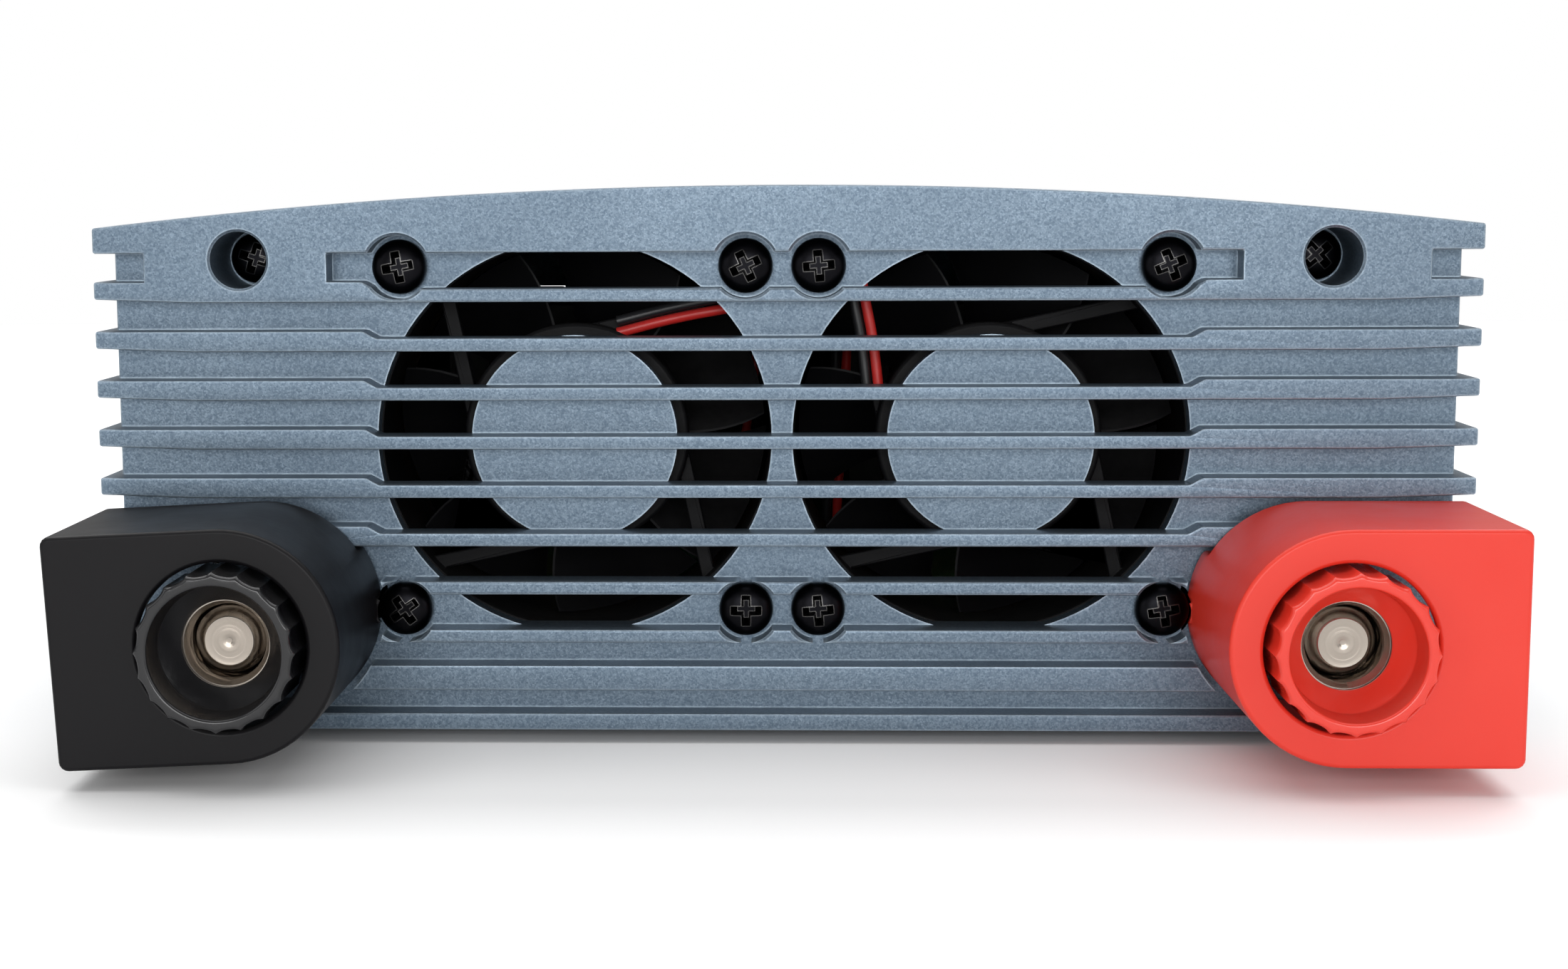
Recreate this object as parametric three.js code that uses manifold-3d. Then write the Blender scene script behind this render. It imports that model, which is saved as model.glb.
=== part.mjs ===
// A power inverter: an extruded aluminium case closed by a die-cast panel at each end.
// The DC end has two fans, two terminal studs with clamp knobs and two terminal covers.
// The AC end has two sockets, the switch, the status light and the earth screw.
//
// Millimetres, +Z up. The DC end faces -Y and the positive terminal is on the +X side.
// The pieces are built from the outer face of the DC panel's plate (y = 0) and from the
// underside of the case (z = 0). The group then moves them so that the origin lies on the
// ground under the middle of the object.

import * as THREE from "three";
import { mergeVertices } from "three/addons/utils/BufferGeometryUtils.js";
import Module from "manifold-3d";

const wasm = await Module();
wasm.setup();

// ---- Driving dimensions ------------------------------------------------------------

const GAP = 0.3; // clearance between two pieces that touch

// End panels, seen from the front: x across, z up.
const TIP_X = 99; // half the width over the fin tips
const WALL_X = 97; // half the width of the side walls
const CROWN_Z = 79; // top of the crown in the middle
const CROWN_DROP = 5.8; // how much lower the crown is at the fin tips
const CROWN_R = (TIP_X ** 2 + CROWN_DROP ** 2) / (2 * CROWN_DROP);
const PLATE = 3; // plate thickness
const SKIRT = 14; // depth of the skirt behind the plate's face
const FIN_DEPTH = 4.5; // how far the fins stand in front of the plate
const FIN_FIRST = 5.9; // underside of the lowest fin
const FIN_PITCH = 7.075;
const FIN_COUNT = 9;
const FIN_THIN = 1.95; // fin thickness across the fans
const FIN_THICK = 3.0; // fin thickness at the sides
const FIN_LOWEST = 3.7; // thickness of the lowest fin
const FIN_STEP_X = 58.3; // where the thin stretch ends
const FIN_STEP_RUN = 1.9; // width of the sloping step
const FIN_TAPER_X = 85; // where the underside starts to rise towards the tip
const FIN_TAPER = 0.5;
const LIP = 2.5; // height of the bottom lip
const BAND_Z = FIN_FIRST + FIN_COUNT * FIN_PITCH; // underside of the crown band

// Corner blocks between the crown band and the top fin, and the panel screws.
const BLOCK_X = [65.2, 91.7];
const TOP_SCREW = [78, 68.6];
const LOW_SCREW = [89.5, 8];
const DEEP_HOLE_R = 4.1;
const DEEP_HOLE_END = 9; // where the deep hole's floor is
const BOSS_R = 6;

// Case, base plate and circuit board.
const CASE_LENGTH = 290; // between the two skirts
const CASE_TIP_X = 98;
const CASE_WALL_X = 96.4;
const CASE_WALL = 3;
const CASE_ROOF = 2.5;
const CASE_STEP = 1.2; // how much lower the case is than its end panels
const PORT_R = 3.6;
const PORT_HOLE_R = 2;
const GROOVE_X = 92.4; // half the width of the plate and the board in their grooves
const BASE_Z = [1.3, 3.3];
const BOARD_Z = [15, 16.6];
const LEDGE_X = 89.6;
const FOOT = { x: 78, ends: [40, 278], r: 7, low: -2, high: 1 };

// Fans.
const FAN = { x: 30.25, z: 42.5, size: 60, depth: 25, hole: 25, bore: 28.5 };
const FAN_Y = PLATE + GAP;
const FLANGE = 4;
const OPENING_R = 28.75;
const DISC_R = 15;
const SCREW_HOLE_R = 2.15;
const SCREW_CLEAR_R = 4.6;
const BASE_DISC_R = 16.5;
const STRUT = { from: 5.9, to: 7.3, start: [-14.6, -1], end: [-19.9, 24], width: 2.2 };
const LEAD_SLOT = { x: [19, 30.5], z: [17.4, 22.4], rear: 26 };
const ROTOR = { hub: 15.5, tip: 27.7, front: 7.8, back: 26, blades: 7, thick: 1.2, sweep: 0.62 };

// Terminals: depths are y, measured from the plate's face, negative towards the user.
const STUD = { x: 74.9, z: 17.9, r: 4.85, tip: 3.5, end: -29.8, chamfer: 1.35, inner: 22 };
const COLLAR = { r: 7, y: [-7, -5.3] };
const INSULATOR = { flange: 10.6, front: -5, sleeve: 8.7, back: 8, hole: 9 };
const NUT = { across: 17, y: [10.8, 17.8] };
const WASHER = { r: 10, y: [-10.6, -9.3] };
const KNOB = { r: 10.9, ridges: 20, dip: 0.45, front: -39.3, rim: -26.5, body: 9.6, back: -11 };
const KNOB_BORE = { mouth: 8.95, waist: 8.6, waistY: -34.6, throat: 6, throatY: -31.9, exit: 6.2 };
const INSERT = { r: 7.6, bore: 5.15, y: [-31.3, -12.2] };
const COVER = { r: 16, side: 23.3, front: -35, wall: 2, hole: 11.5, rim: 8.2, turn: 2.8 };
const COVER_RELIEF_R = 4.3; // round the head of the nearest fan screw
const CABLE_SLOT = { z: [-8.5, 8], y: -30.5 };
const BUSBAR = { front: 8.4, sheet: 2, over: 10.3, down: 40, foot: 54, half: 7 };
const POCKET = { grow: 1, top: 26.9 }; // space in the lower fins for a cover

// AC end.
const AC_Y = SKIRT * 2 + CASE_LENGTH + 2; // outer face of the AC panel's plate
const FIELD = { x: 88, z: [10.2, 69] }; // flat field in the AC panel's fins
const SOCKET = { x: 26, z: 40, flange: 23, body: 21.8, recess: 19.6, depth: 17.5, pin: 9.5 };
const SWITCH = { x: 68, z: 46, pivot: -1.5, turn: 9 };
const LIGHT = { x: 68, z: 22, r: 2.5 };
const PORT = { x: -68, z: 46, w: 15, h: 13 };
const EARTH = { x: -68, z: 20, shank: 2.7, head: 6 };

// ---- Materials ---------------------------------------------------------------------

function finish(color, roughness, metalness) {
  return new THREE.MeshStandardMaterial({ color, roughness, metalness });
}

const castPaint = finish(0x7d93a8, 0.5, 0.4);
const casePaint = finish(0x7a8fa4, 0.45, 0.4);
const zincSheet = finish(0xb4b8bb, 0.4, 0.9);
const blackScrew = finish(0x1c1c1f, 0.3, 0.8);
const fanPlastic = finish(0x141416, 0.5, 0);
const blackPlastic = finish(0x202024, 0.35, 0);
const redPlastic = finish(0xe03530, 0.35, 0);
const nickel = finish(0xb3a68f, 0.25, 1);
const clearSteel = finish(0xc0c2c4, 0.3, 1);
const rubber = finish(0x1a1a1a, 0.85, 0);
const boardGreen = finish(0x1f5a35, 0.5, 0);
const ferrite = finish(0x303033, 0.7, 0.1);
const windingTape = finish(0xc98a3c, 0.5, 0);
const aluminium = finish(0xb9bcbf, 0.4, 1);
const copper = finish(0xb87345, 0.3, 1);
const capacitorSleeve = finish(0x20242c, 0.4, 0);
const leadSleeve = finish(0xa01c1c, 0.5, 0);
const lightLens = finish(0x3fae4a, 0.2, 0);

// ---- Shapes ------------------------------------------------------------------------

/** A closed three.js geometry as a solid. */
function solid(geometry) {
  geometry.deleteAttribute("normal");
  geometry.deleteAttribute("uv");
  const merged = mergeVertices(geometry);
  const points = merged.attributes.position;
  const corner = [0, 1, 2].map(() => new THREE.Vector3());
  const triangles = [];
  let volume = 0;
  for (let i = 0; i < merged.index.count; i += 3) {
    const ids = [0, 1, 2].map((k) => merged.index.getX(i + k));
    if (new Set(ids).size < 3) continue;
    ids.forEach((id, k) => corner[k].fromBufferAttribute(points, id));
    volume += corner[0].dot(corner[1].clone().cross(corner[2]));
    triangles.push(ids);
  }
  const facing = triangles.map((ids) => (volume < 0 ? ids.reverse() : ids));
  return new wasm.Manifold(new wasm.Mesh({
    numProp: 3,
    vertProperties: new Float32Array(points.array),
    triVerts: new Uint32Array(facing.flat()),
  }));
}

function outline(points) {
  return new THREE.Shape(points.map(([a, b]) => new THREE.Vector2(a, b)));
}

const AXES = {
  x: [new THREE.Vector3(0, 1, 0), new THREE.Vector3(0, 0, 1), new THREE.Vector3(1, 0, 0)],
  y: [new THREE.Vector3(1, 0, 0), new THREE.Vector3(0, 0, 1), new THREE.Vector3(0, -1, 0)],
  z: [new THREE.Vector3(1, 0, 0), new THREE.Vector3(0, 1, 0), new THREE.Vector3(0, 0, 1)],
};

/** A shape extruded along an axis. Along y the shape is in (x, z), along x in (y, z). */
function prism(axis, shape, from, to, curveSegments = 6) {
  const depth = to - from;
  const geometry = new THREE.ExtrudeGeometry(shape, { depth, bevelEnabled: false, curveSegments });
  geometry.applyMatrix4(new THREE.Matrix4().makeBasis(...AXES[axis]));
  const shift = axis === "y" ? to : from;
  const offset = new THREE.Vector3();
  offset[axis] = shift;
  return solid(geometry.translate(offset.x, offset.y, offset.z));
}

function box(x, y, z) {
  const geometry = new THREE.BoxGeometry(x[1] - x[0], y[1] - y[0], z[1] - z[0]);
  return solid(geometry.translate((x[0] + x[1]) / 2, (y[0] + y[1]) / 2, (z[0] + z[1]) / 2));
}

/** A cylinder along y, centred on (x, z). */
function rod(x, z, r, from, to, sides = 16) {
  const geometry = new THREE.CylinderGeometry(r, r, to - from, sides);
  return solid(geometry.translate(x, (from + to) / 2, z));
}

/** A turned piece about the y axis, from points of [radius, y]. */
function turned(points, sides = 20) {
  const profile = points.map(([r, y]) => new THREE.Vector2(r, y));
  return solid(new THREE.LatheGeometry(profile, sides));
}

/** A turned ring: its section is closed on itself. */
function ring(points, sides = 20) {
  return turned([...points, points[0]], sides);
}

function join(solids) {
  return solids.reduce((whole, next) => whole.add(next));
}

const both = [-1, 1];

/** [x, z] centres of the four screws of a fan, from the fan's centre. */
const fanHoles = both.flatMap((h) => both.map((v) => [h * FAN.hole, v * FAN.hole]));

const inverter = new THREE.Group();

/** Adds one named piece, made of one solid, to a group. */
function piece(name, body, material, parent = inverter) {
  const mesh = body.getMesh();
  const geometry = new THREE.BufferGeometry();
  geometry.setAttribute("position", new THREE.BufferAttribute(mesh.vertProperties, 3));
  geometry.setIndex(new THREE.BufferAttribute(mesh.triVerts, 1));
  geometry.computeVertexNormals();
  const made = new THREE.Mesh(geometry, material);
  made.name = name;
  parent.add(made);
  return made;
}

function groupAt(x, y, z, parent = inverter) {
  const group = new THREE.Group();
  group.position.set(x, y, z);
  parent.add(group);
  return group;
}

// ---- End panels --------------------------------------------------------------------

/** A flat-bottomed outline under the crown's arc. */
function crownShape(halfWidth, top, bottom) {
  const lean = Math.asin(halfWidth / CROWN_R);
  const shape = new THREE.Shape();
  shape.moveTo(-halfWidth, bottom);
  shape.lineTo(halfWidth, bottom);
  shape.absarc(0, top - CROWN_R, CROWN_R, Math.PI / 2 - lean, Math.PI / 2 + lean);
  return shape;
}

/** One fin across the panel: thin over the fans, thick beyond them, tapered at the tips. */
function finShape(bottom, thin) {
  const thick = Math.max(thin, FIN_THICK);
  const right = [
    [FIN_TAPER_X, bottom],
    [TIP_X, bottom + FIN_TAPER],
    [TIP_X, bottom + thick],
    [FIN_STEP_X + FIN_STEP_RUN, bottom + thick],
    [FIN_STEP_X, bottom + thin],
  ];
  const left = right.map(([x, z]) => [-x, z]).reverse();
  return outline([...right, ...left]);
}

/** The skirt, plate and fins that both end panels share, with its plate's face at y = 0. */
function endCasting(plateCuts = []) {
  const core = prism("y", crownShape(WALL_X, CROWN_Z, 0), 0, SKIRT);
  const hollow = prism("y", crownShape(WALL_X - PLATE, CROWN_Z - PLATE, PLATE), PLATE, SKIRT + 1);
  const parts = [plateCuts.reduce((plate, cut) => plate.subtract(cut), core.subtract(hollow))];
  for (let k = 0; k < FIN_COUNT; k += 1) {
    const bottom = FIN_FIRST + k * FIN_PITCH;
    const thin = k === 0 ? FIN_LOWEST : FIN_THIN;
    parts.push(prism("y", finShape(bottom, thin), -FIN_DEPTH, 1));
    for (const side of both) {
      const x = [side * (WALL_X - 1), side * TIP_X].sort((a, b) => a - b);
      parts.push(box(x, [0, SKIRT], [bottom + FIN_TAPER, bottom + FIN_THICK]));
    }
  }
  const band = prism("y", crownShape(TIP_X, CROWN_Z, BAND_Z), -FIN_DEPTH, SKIRT);
  const lip = box([-TIP_X, TIP_X], [-FIN_DEPTH, SKIRT], [0, LIP]);
  parts.push(band.subtract(hollow), lip);
  const topFin = FIN_FIRST + (FIN_COUNT - 1) * FIN_PITCH;
  for (const side of both) {
    const block = [side * BLOCK_X[0], side * BLOCK_X[1]].sort((a, b) => a - b);
    parts.push(box(block, [-FIN_DEPTH, 1], [topFin + 1, BAND_Z + 1]));
    parts.push(rod(side * TOP_SCREW[0], TOP_SCREW[1], BOSS_R, 1, SKIRT).intersect(
      prism("y", crownShape(WALL_X, CROWN_Z - 1, 0), 0, SKIRT)));
    parts.push(rod(side * LOW_SCREW[0], LOW_SCREW[1], BOSS_R, 1, SKIRT).intersect(
      box([-WALL_X, WALL_X], [0, SKIRT], [0, CROWN_Z])));
  }
  let casting = join(parts);
  for (const side of both) {
    const [topX, topZ] = TOP_SCREW;
    const [lowX, lowZ] = LOW_SCREW;
    casting = casting
      .subtract(rod(side * topX, topZ, DEEP_HOLE_R, -FIN_DEPTH - 1, DEEP_HOLE_END))
      .subtract(rod(side * topX, topZ, SCREW_HOLE_R, 0, SKIRT + 1, 12))
      .subtract(rod(side * lowX, lowZ, SCREW_CLEAR_R, -FIN_DEPTH - 1, 0))
      .subtract(rod(side * lowX, lowZ, SCREW_HOLE_R, -1, SKIRT + 1, 12));
  }
  return casting;
}

/** The ring-shaped air opening of one fan, cut flat by the fins above and below it. */
function airOpening(side) {
  const outer = rod(side * FAN.x, FAN.z, OPENING_R, -1, PLATE + 1, 32);
  const disc = rod(side * FAN.x, FAN.z, DISC_R, -2, PLATE + 2, 24);
  const low = FIN_FIRST + FIN_PITCH + FIN_THIN;
  return outer.subtract(disc).intersect(box([-TIP_X, TIP_X], [-2, PLATE + 2], [low, BAND_Z]));
}

/** Outline of a terminal cover from its stud: round inside, square to the outer side. */
function coverShape(side, grow, outer = COVER.side + grow, bottom = -(COVER.r + grow)) {
  const r = COVER.r + grow;
  const shape = new THREE.Shape();
  shape.moveTo(0, bottom);
  shape.lineTo(side * outer, bottom);
  shape.lineTo(side * outer, r);
  shape.lineTo(0, r);
  const [start, end] = [Math.PI / 2, -Math.PI / 2];
  shape.absarc(0, 0, r, start, end, side < 0);
  return shape;
}

function dcEndPanel() {
  let panel = endCasting(both.map(airOpening));
  for (const side of both) {
    for (const [dx, dz] of fanHoles) {
      const x = side * FAN.x + dx;
      const z = FAN.z + dz;
      panel = panel
        .subtract(rod(x, z, SCREW_CLEAR_R, -FIN_DEPTH - 1, 0))
        .subtract(rod(x, z, SCREW_HOLE_R, -1, PLATE + 1, 12));
    }
    const through = TIP_X - STUD.x + 2;
    const under = -STUD.z - 2;
    const shape = coverShape(side, POCKET.grow, through, under);
    const low = box([-TIP_X, TIP_X], [-FIN_DEPTH - 2, 1], [-CROWN_Z, POCKET.top - STUD.z]);
    const pocket = prism("y", shape, -FIN_DEPTH - 1, 0).intersect(low);
    const sleeve = rod(0, 0, INSULATOR.hole, -1, PLATE + 1);
    const seat = rod(0, 0, INSULATOR.flange + GAP, -FIN_DEPTH - 1, 0);
    const terminal = join([pocket, sleeve, seat]).translate([side * STUD.x, 0, STUD.z]);
    panel = panel.subtract(terminal);
  }
  return panel;
}

/** The AC panel, built facing -Y like the DC one, with x mirrored for its turn. */
function acEndPanel() {
  const holes = [
    rod(-SOCKET.x, SOCKET.z, SOCKET.body + GAP, -1, PLATE + 1, 24),
    rod(SOCKET.x, SOCKET.z, SOCKET.body + GAP, -1, PLATE + 1, 24),
    box([-SWITCH.x - 10.7, -SWITCH.x + 10.7], [-1, PLATE + 1], [SWITCH.z - 15.5, SWITCH.z + 15.5]),
    box([-PORT.x - PORT.w / 2 - GAP, -PORT.x + PORT.w / 2 + GAP], [-1, PLATE + 1],
      [PORT.z - PORT.h / 2 - GAP, PORT.z + PORT.h / 2 + GAP]),
    rod(-LIGHT.x, LIGHT.z, LIGHT.r + GAP, -1, PLATE + 1, 12),
    rod(-EARTH.x, EARTH.z, EARTH.shank + GAP, -1, PLATE + 1, 12),
  ];
  const field = box([-FIELD.x, FIELD.x], [-FIN_DEPTH - 1, 0], FIELD.z);
  const corners = both.map((side) => {
    const x = [side * BLOCK_X[0], side * (BLOCK_X[1] + 1)].sort((a, b) => a - b);
    return box(x, [-FIN_DEPTH - 2, 1], [FIN_FIRST + (FIN_COUNT - 1) * FIN_PITCH, BAND_Z + 1]);
  });
  return endCasting().subtract(field.subtract(join(corners))).subtract(join(holes));
}

piece("dc_end_panel", dcEndPanel(), castPaint);
const acEnd = groupAt(0, AC_Y, 0);
acEnd.rotation.z = Math.PI;
piece("ac_end_panel", acEndPanel(), castPaint, acEnd);

// ---- Case, base plate and feet -----------------------------------------------------

const caseY = [SKIRT + GAP, AC_Y - SKIRT - GAP];

function caseShell() {
  const top = CROWN_Z - CASE_STEP;
  const [from, to] = caseY;
  const innerX = CASE_WALL_X - CASE_WALL;
  const hollow = prism("y", crownShape(innerX, top - CASE_ROOF, -1), from - 1, to + 1);
  const walls = [
    prism("y", crownShape(CASE_WALL_X, top, 0), from, to),
    prism("y", crownShape(CASE_TIP_X, top, BAND_Z + FIN_TAPER), from, to),
    box([-CASE_TIP_X, CASE_TIP_X], caseY, [0, LIP - FIN_TAPER]),
  ];
  for (let k = 0; k < FIN_COUNT; k += 1) {
    const bottom = FIN_FIRST + k * FIN_PITCH + FIN_TAPER;
    walls.push(box([-CASE_TIP_X, CASE_TIP_X], caseY, [bottom, bottom + FIN_THICK - FIN_TAPER]));
  }
  const inside = [];
  const holes = [];
  for (const side of both) {
    const ledge = [side * LEDGE_X, side * (innerX + 1)].sort((a, b) => a - b);
    inside.push(
      box(ledge, caseY, [0, BASE_Z[0] - GAP]),
      box(ledge, caseY, [BASE_Z[1] + GAP, BASE_Z[1] + 1.7]),
      box(ledge, caseY, [BOARD_Z[0] - 1.8, BOARD_Z[0] - GAP]),
      box(ledge, caseY, [BOARD_Z[1] + GAP, BOARD_Z[1] + 1.8]),
    );
    for (const [x, z] of [TOP_SCREW, LOW_SCREW]) {
      inside.push(rod(side * x, z, PORT_R, from, to, 16));
      holes.push(rod(side * x, z, PORT_HOLE_R, from - 1, to + 1, 12));
    }
  }
  return join([join(walls).subtract(hollow), ...inside]).subtract(join(holes));
}

piece("case_shell", caseShell(), casePaint);
piece("base_plate", box([-GROOVE_X, GROOVE_X], caseY, BASE_Z), zincSheet);

FOOT.ends.forEach((y, end) => {
  both.forEach((side, k) => {
    const pad = new THREE.CylinderGeometry(FOOT.r, FOOT.r, FOOT.high - FOOT.low, 20);
    pad.rotateX(Math.PI / 2).translate(side * FOOT.x, y, (FOOT.high + FOOT.low) / 2);
    piece(`foot_${["dc", "ac"][end]}_${["left", "right"][k]}`, solid(pad), rubber);
  });
});

// ---- Screws ------------------------------------------------------------------------

const FAN_SCREW = { headR: 3.95, head: 3, shankR: 1.8, length: 8.8 };
const TOP_PANEL_SCREW = { headR: 3.7, head: 2.5, shankR: 1.7, length: 18 };
const LOW_PANEL_SCREW = { ...TOP_PANEL_SCREW, length: 26 };

/** A pan-head screw on the y axis: its head stands in front of y = 0. */
function panScrew({ headR, head, shankR, length }) {
  return turned([
    [0, -head], [headR * 0.7, -head * 0.8], [headR, 0],
    [shankR, 0], [shankR, length], [0, length],
  ], 10);
}

both.forEach((side, fan) => {
  fanHoles.forEach(([dx, dz], k) => {
    const head = groupAt(side * FAN.x + dx, -GAP, FAN.z + dz);
    const name = `fan_screw_${["left", "right"][fan]}_${k + 1}`;
    piece(name, panScrew(FAN_SCREW), blackScrew, head);
  });
});

for (const [end, parent] of [["dc", inverter], ["ac", acEnd]]) {
  both.forEach((side, k) => {
    const hand = ["left", "right"][k];
    const top = groupAt(side * TOP_SCREW[0], DEEP_HOLE_END - GAP, TOP_SCREW[1], parent);
    piece(`${end}_panel_screw_top_${hand}`, panScrew(TOP_PANEL_SCREW), blackScrew, top);
    const low = groupAt(side * LOW_SCREW[0], -GAP, LOW_SCREW[1], parent);
    piece(`${end}_panel_screw_low_${hand}`, panScrew(LOW_PANEL_SCREW), blackScrew, low);
  });
}

// ---- Fans --------------------------------------------------------------------------

/** A fan's housing about the y axis, with four struts that carry the motor's base. */
function fanFrame() {
  const half = FAN.size / 2;
  const back = FAN.depth;
  const flange = (from, to) => box([-half, half], [from, to], [-half, half]);
  const tunnel = rod(0, 0, half - 0.1, 0, back, 28);
  const shell = join([flange(0, FLANGE), flange(back - FLANGE, back), tunnel]);
  const slot = box(LEAD_SLOT.x, [-1, FLANGE + 0.2], LEAD_SLOT.z);
  const rearSlot = box([LEAD_SLOT.rear, half + 1], [back - FLANGE - 0.2, back + 1], LEAD_SLOT.z);
  const bore = rod(0, 0, FAN.bore, -1, back + 1, 28);
  let frame = shell.subtract(bore).subtract(slot).subtract(rearSlot);
  for (const [x, z] of fanHoles) {
    frame = frame.subtract(rod(x, z, SCREW_HOLE_R, -1, back + 1, 12));
  }
  const [x0, z0] = STRUT.start;
  const [x1, z1] = STRUT.end;
  const half2 = STRUT.width / 2;
  const bar = outline([[x0 - half2, z0], [x0 + half2, z0], [x1 + half2, z1], [x1 - half2, z1]]);
  const arm = new THREE.ExtrudeGeometry(bar, { depth: STRUT.to - STRUT.from, bevelEnabled: false });
  arm.applyMatrix4(new THREE.Matrix4().makeBasis(...AXES.y)).translate(0, STRUT.to - FAN_Y, 0);
  for (let k = 0; k < 4; k += 1) {
    frame = frame.add(solid(arm.clone().rotateY((k * Math.PI) / 2)).subtract(slot));
  }
  return frame.add(rod(0, 0, BASE_DISC_R, GAP, STRUT.to - FAN_Y, 24));
}

/** One swept blade: a thin box bent round the hub. */
function fanBlade(angle) {
  const geometry = new THREE.BoxGeometry(1, 1, 1, 2, 1, 3);
  const points = geometry.attributes.position;
  for (let i = 0; i < points.count; i += 1) {
    const r = THREE.MathUtils.lerp(ROTOR.hub - 0.8, ROTOR.tip, points.getX(i) + 0.5);
    const along = points.getZ(i) + 0.5;
    const turn = angle + ROTOR.sweep * along * (1 + 0.25 * along) + (points.getY(i) * ROTOR.thick) / r;
    const y = THREE.MathUtils.lerp(ROTOR.front + 1, ROTOR.back - 0.8, along);
    points.setXYZ(i, r * Math.cos(turn), y, r * Math.sin(turn));
  }
  return solid(geometry);
}

function fanRotor() {
  let rotor = rod(0, 0, ROTOR.hub, ROTOR.front, ROTOR.back, 21);
  for (let k = 0; k < ROTOR.blades; k += 1) {
    rotor = rotor.add(fanBlade((k * 2 * Math.PI) / ROTOR.blades));
  }
  return rotor;
}

/** A fan's lead bundle through [x, y, z] points. */
function leadBundle(points, radius) {
  const path = new THREE.CatmullRomCurve3(points.map((p) => new THREE.Vector3(...p)));
  const section = new THREE.Shape();
  section.absarc(0, 0, radius, 0, 2 * Math.PI);
  const settings = { steps: 24, extrudePath: path, bevelEnabled: false, curveSegments: 4 };
  return solid(new THREE.ExtrudeGeometry(section, settings));
}

both.forEach((side, k) => {
  const hand = ["left", "right"][k];
  const place = groupAt(side * FAN.x, FAN_Y, FAN.z);
  const quarter = k === 0 ? 0 : -Math.PI / 2;
  piece(`fan_frame_${hand}`, fanFrame(), fanPlastic, place).rotation.y = quarter;
  const spin = groupAt(side * FAN.x, 0, FAN.z);
  piece(`fan_rotor_${hand}`, fanRotor(), fanPlastic, spin);
});

// Each lead leaves the motor along a strut, goes back outside the fan's tube through the
// two flanges and comes down to the circuit board.
const LEAD_R = 0.9;
piece("fan_lead_left", leadBundle([
  [-24.2, 4.7, 59.4], [-16.2, 4.7, 60.4], [-8.8, 4.7, 61.8], [-3.9, 6.0, 62.5],
  [-2.3, 10, 62.5], [-2.3, 27, 62.5], [-3, 33, 60], [-6, 39, 40], [-8, 41, 26], [-8, 42, 17.9],
], LEAD_R), leadSleeve);
piece("fan_lead_right", leadBundle([
  [13.4, 4.7, 48.6], [12.4, 4.7, 56.6], [11.0, 4.7, 64.0], [10.4, 6.0, 68.9],
  [10.3, 10, 70.4], [10.3, 27, 70.4], [10, 33, 67], [9, 39, 42], [8, 41, 26], [8, 42, 17.9],
], LEAD_R), leadSleeve);

// ---- Terminals ---------------------------------------------------------------------

function terminalStud() {
  const { r, tip, end, chamfer, inner } = STUD;
  const stud = turned([
    [0, end], [tip, end], [r, end + chamfer], [r, COLLAR.y[0]], [COLLAR.r, COLLAR.y[0]],
    [COLLAR.r, COLLAR.y[1]], [r, COLLAR.y[1]], [r, inner - 1], [r - 1, inner], [0, inner],
  ]);
  const corner = NUT.across / 2 / Math.cos(Math.PI / 6);
  return stud.add(rod(0, 0, corner, ...NUT.y, 6));
}

function insulator() {
  const { flange, front, sleeve, back } = INSULATOR;
  const hole = STUD.r + GAP;
  return ring([[hole, front], [flange, front], [flange, -GAP], [sleeve, -GAP], [sleeve, back], [hole, back]]);
}

/** The clamp knob: a scalloped rim on a round body, hollow for the threaded insert. */
function clampKnob() {
  const rim = [];
  const steps = KNOB.ridges * 2;
  for (let i = 0; i < steps; i += 1) {
    const r = KNOB.r - (i % 2) * KNOB.dip;
    const angle = (i * 2 * Math.PI) / steps;
    rim.push([r * Math.cos(angle), r * Math.sin(angle)]);
  }
  const [mouth, seat] = INSERT.y;
  const bore = turned([
    [0, KNOB.front - 1], [KNOB_BORE.mouth, KNOB.front - 1], [KNOB_BORE.mouth, KNOB.front],
    [KNOB_BORE.waist, KNOB_BORE.waistY], [KNOB_BORE.throat, KNOB_BORE.throatY],
    [KNOB_BORE.throat, mouth - GAP], [INSERT.r + GAP, mouth - GAP], [INSERT.r + GAP, seat + GAP],
    [KNOB_BORE.exit, seat + GAP], [KNOB_BORE.exit, KNOB.back + 1], [0, KNOB.back + 1],
  ]);
  return prism("y", outline(rim), KNOB.front, KNOB.rim)
    .add(rod(0, 0, KNOB.body, KNOB.rim - 1, KNOB.back))
    .subtract(bore);
}

function knobInsert() {
  const [mouth, seat] = INSERT.y;
  const { r, bore } = INSERT;
  return ring([[bore, mouth + 0.7], [bore + 0.7, mouth], [r, mouth], [r, seat], [bore, seat]]);
}

/** A terminal cover about its stud's axis, open at the back and to the outer side. */
function terminalCover(side) {
  const { front, wall, hole, side: outer, r, rim } = COVER;
  const shell = prism("y", coverShape(side, 0), front, -GAP, 8);
  const hollow = prism("y", coverShape(side, -wall), front + wall, 1, 8);
  const x = [side * (outer - wall - 1), side * (outer + 1)].sort((a, b) => a - b);
  const slot = box(x, [CABLE_SLOT.y, 1], CABLE_SLOT.z);
  const step = box([-r - 1, r + 1].map((v) => v * 2), [-FIN_DEPTH - 0.2, 1], [rim, r + 1]);
  const screwX = side * (FAN.x + FAN.hole - STUD.x);
  const relief = rod(screwX, FAN.z - FAN.hole - STUD.z, COVER_RELIEF_R, -FIN_DEPTH, 1);
  return shell.subtract(join([hollow, slot, step, relief, rod(0, 0, hole, front - 1, 0, 24)]));
}

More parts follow.
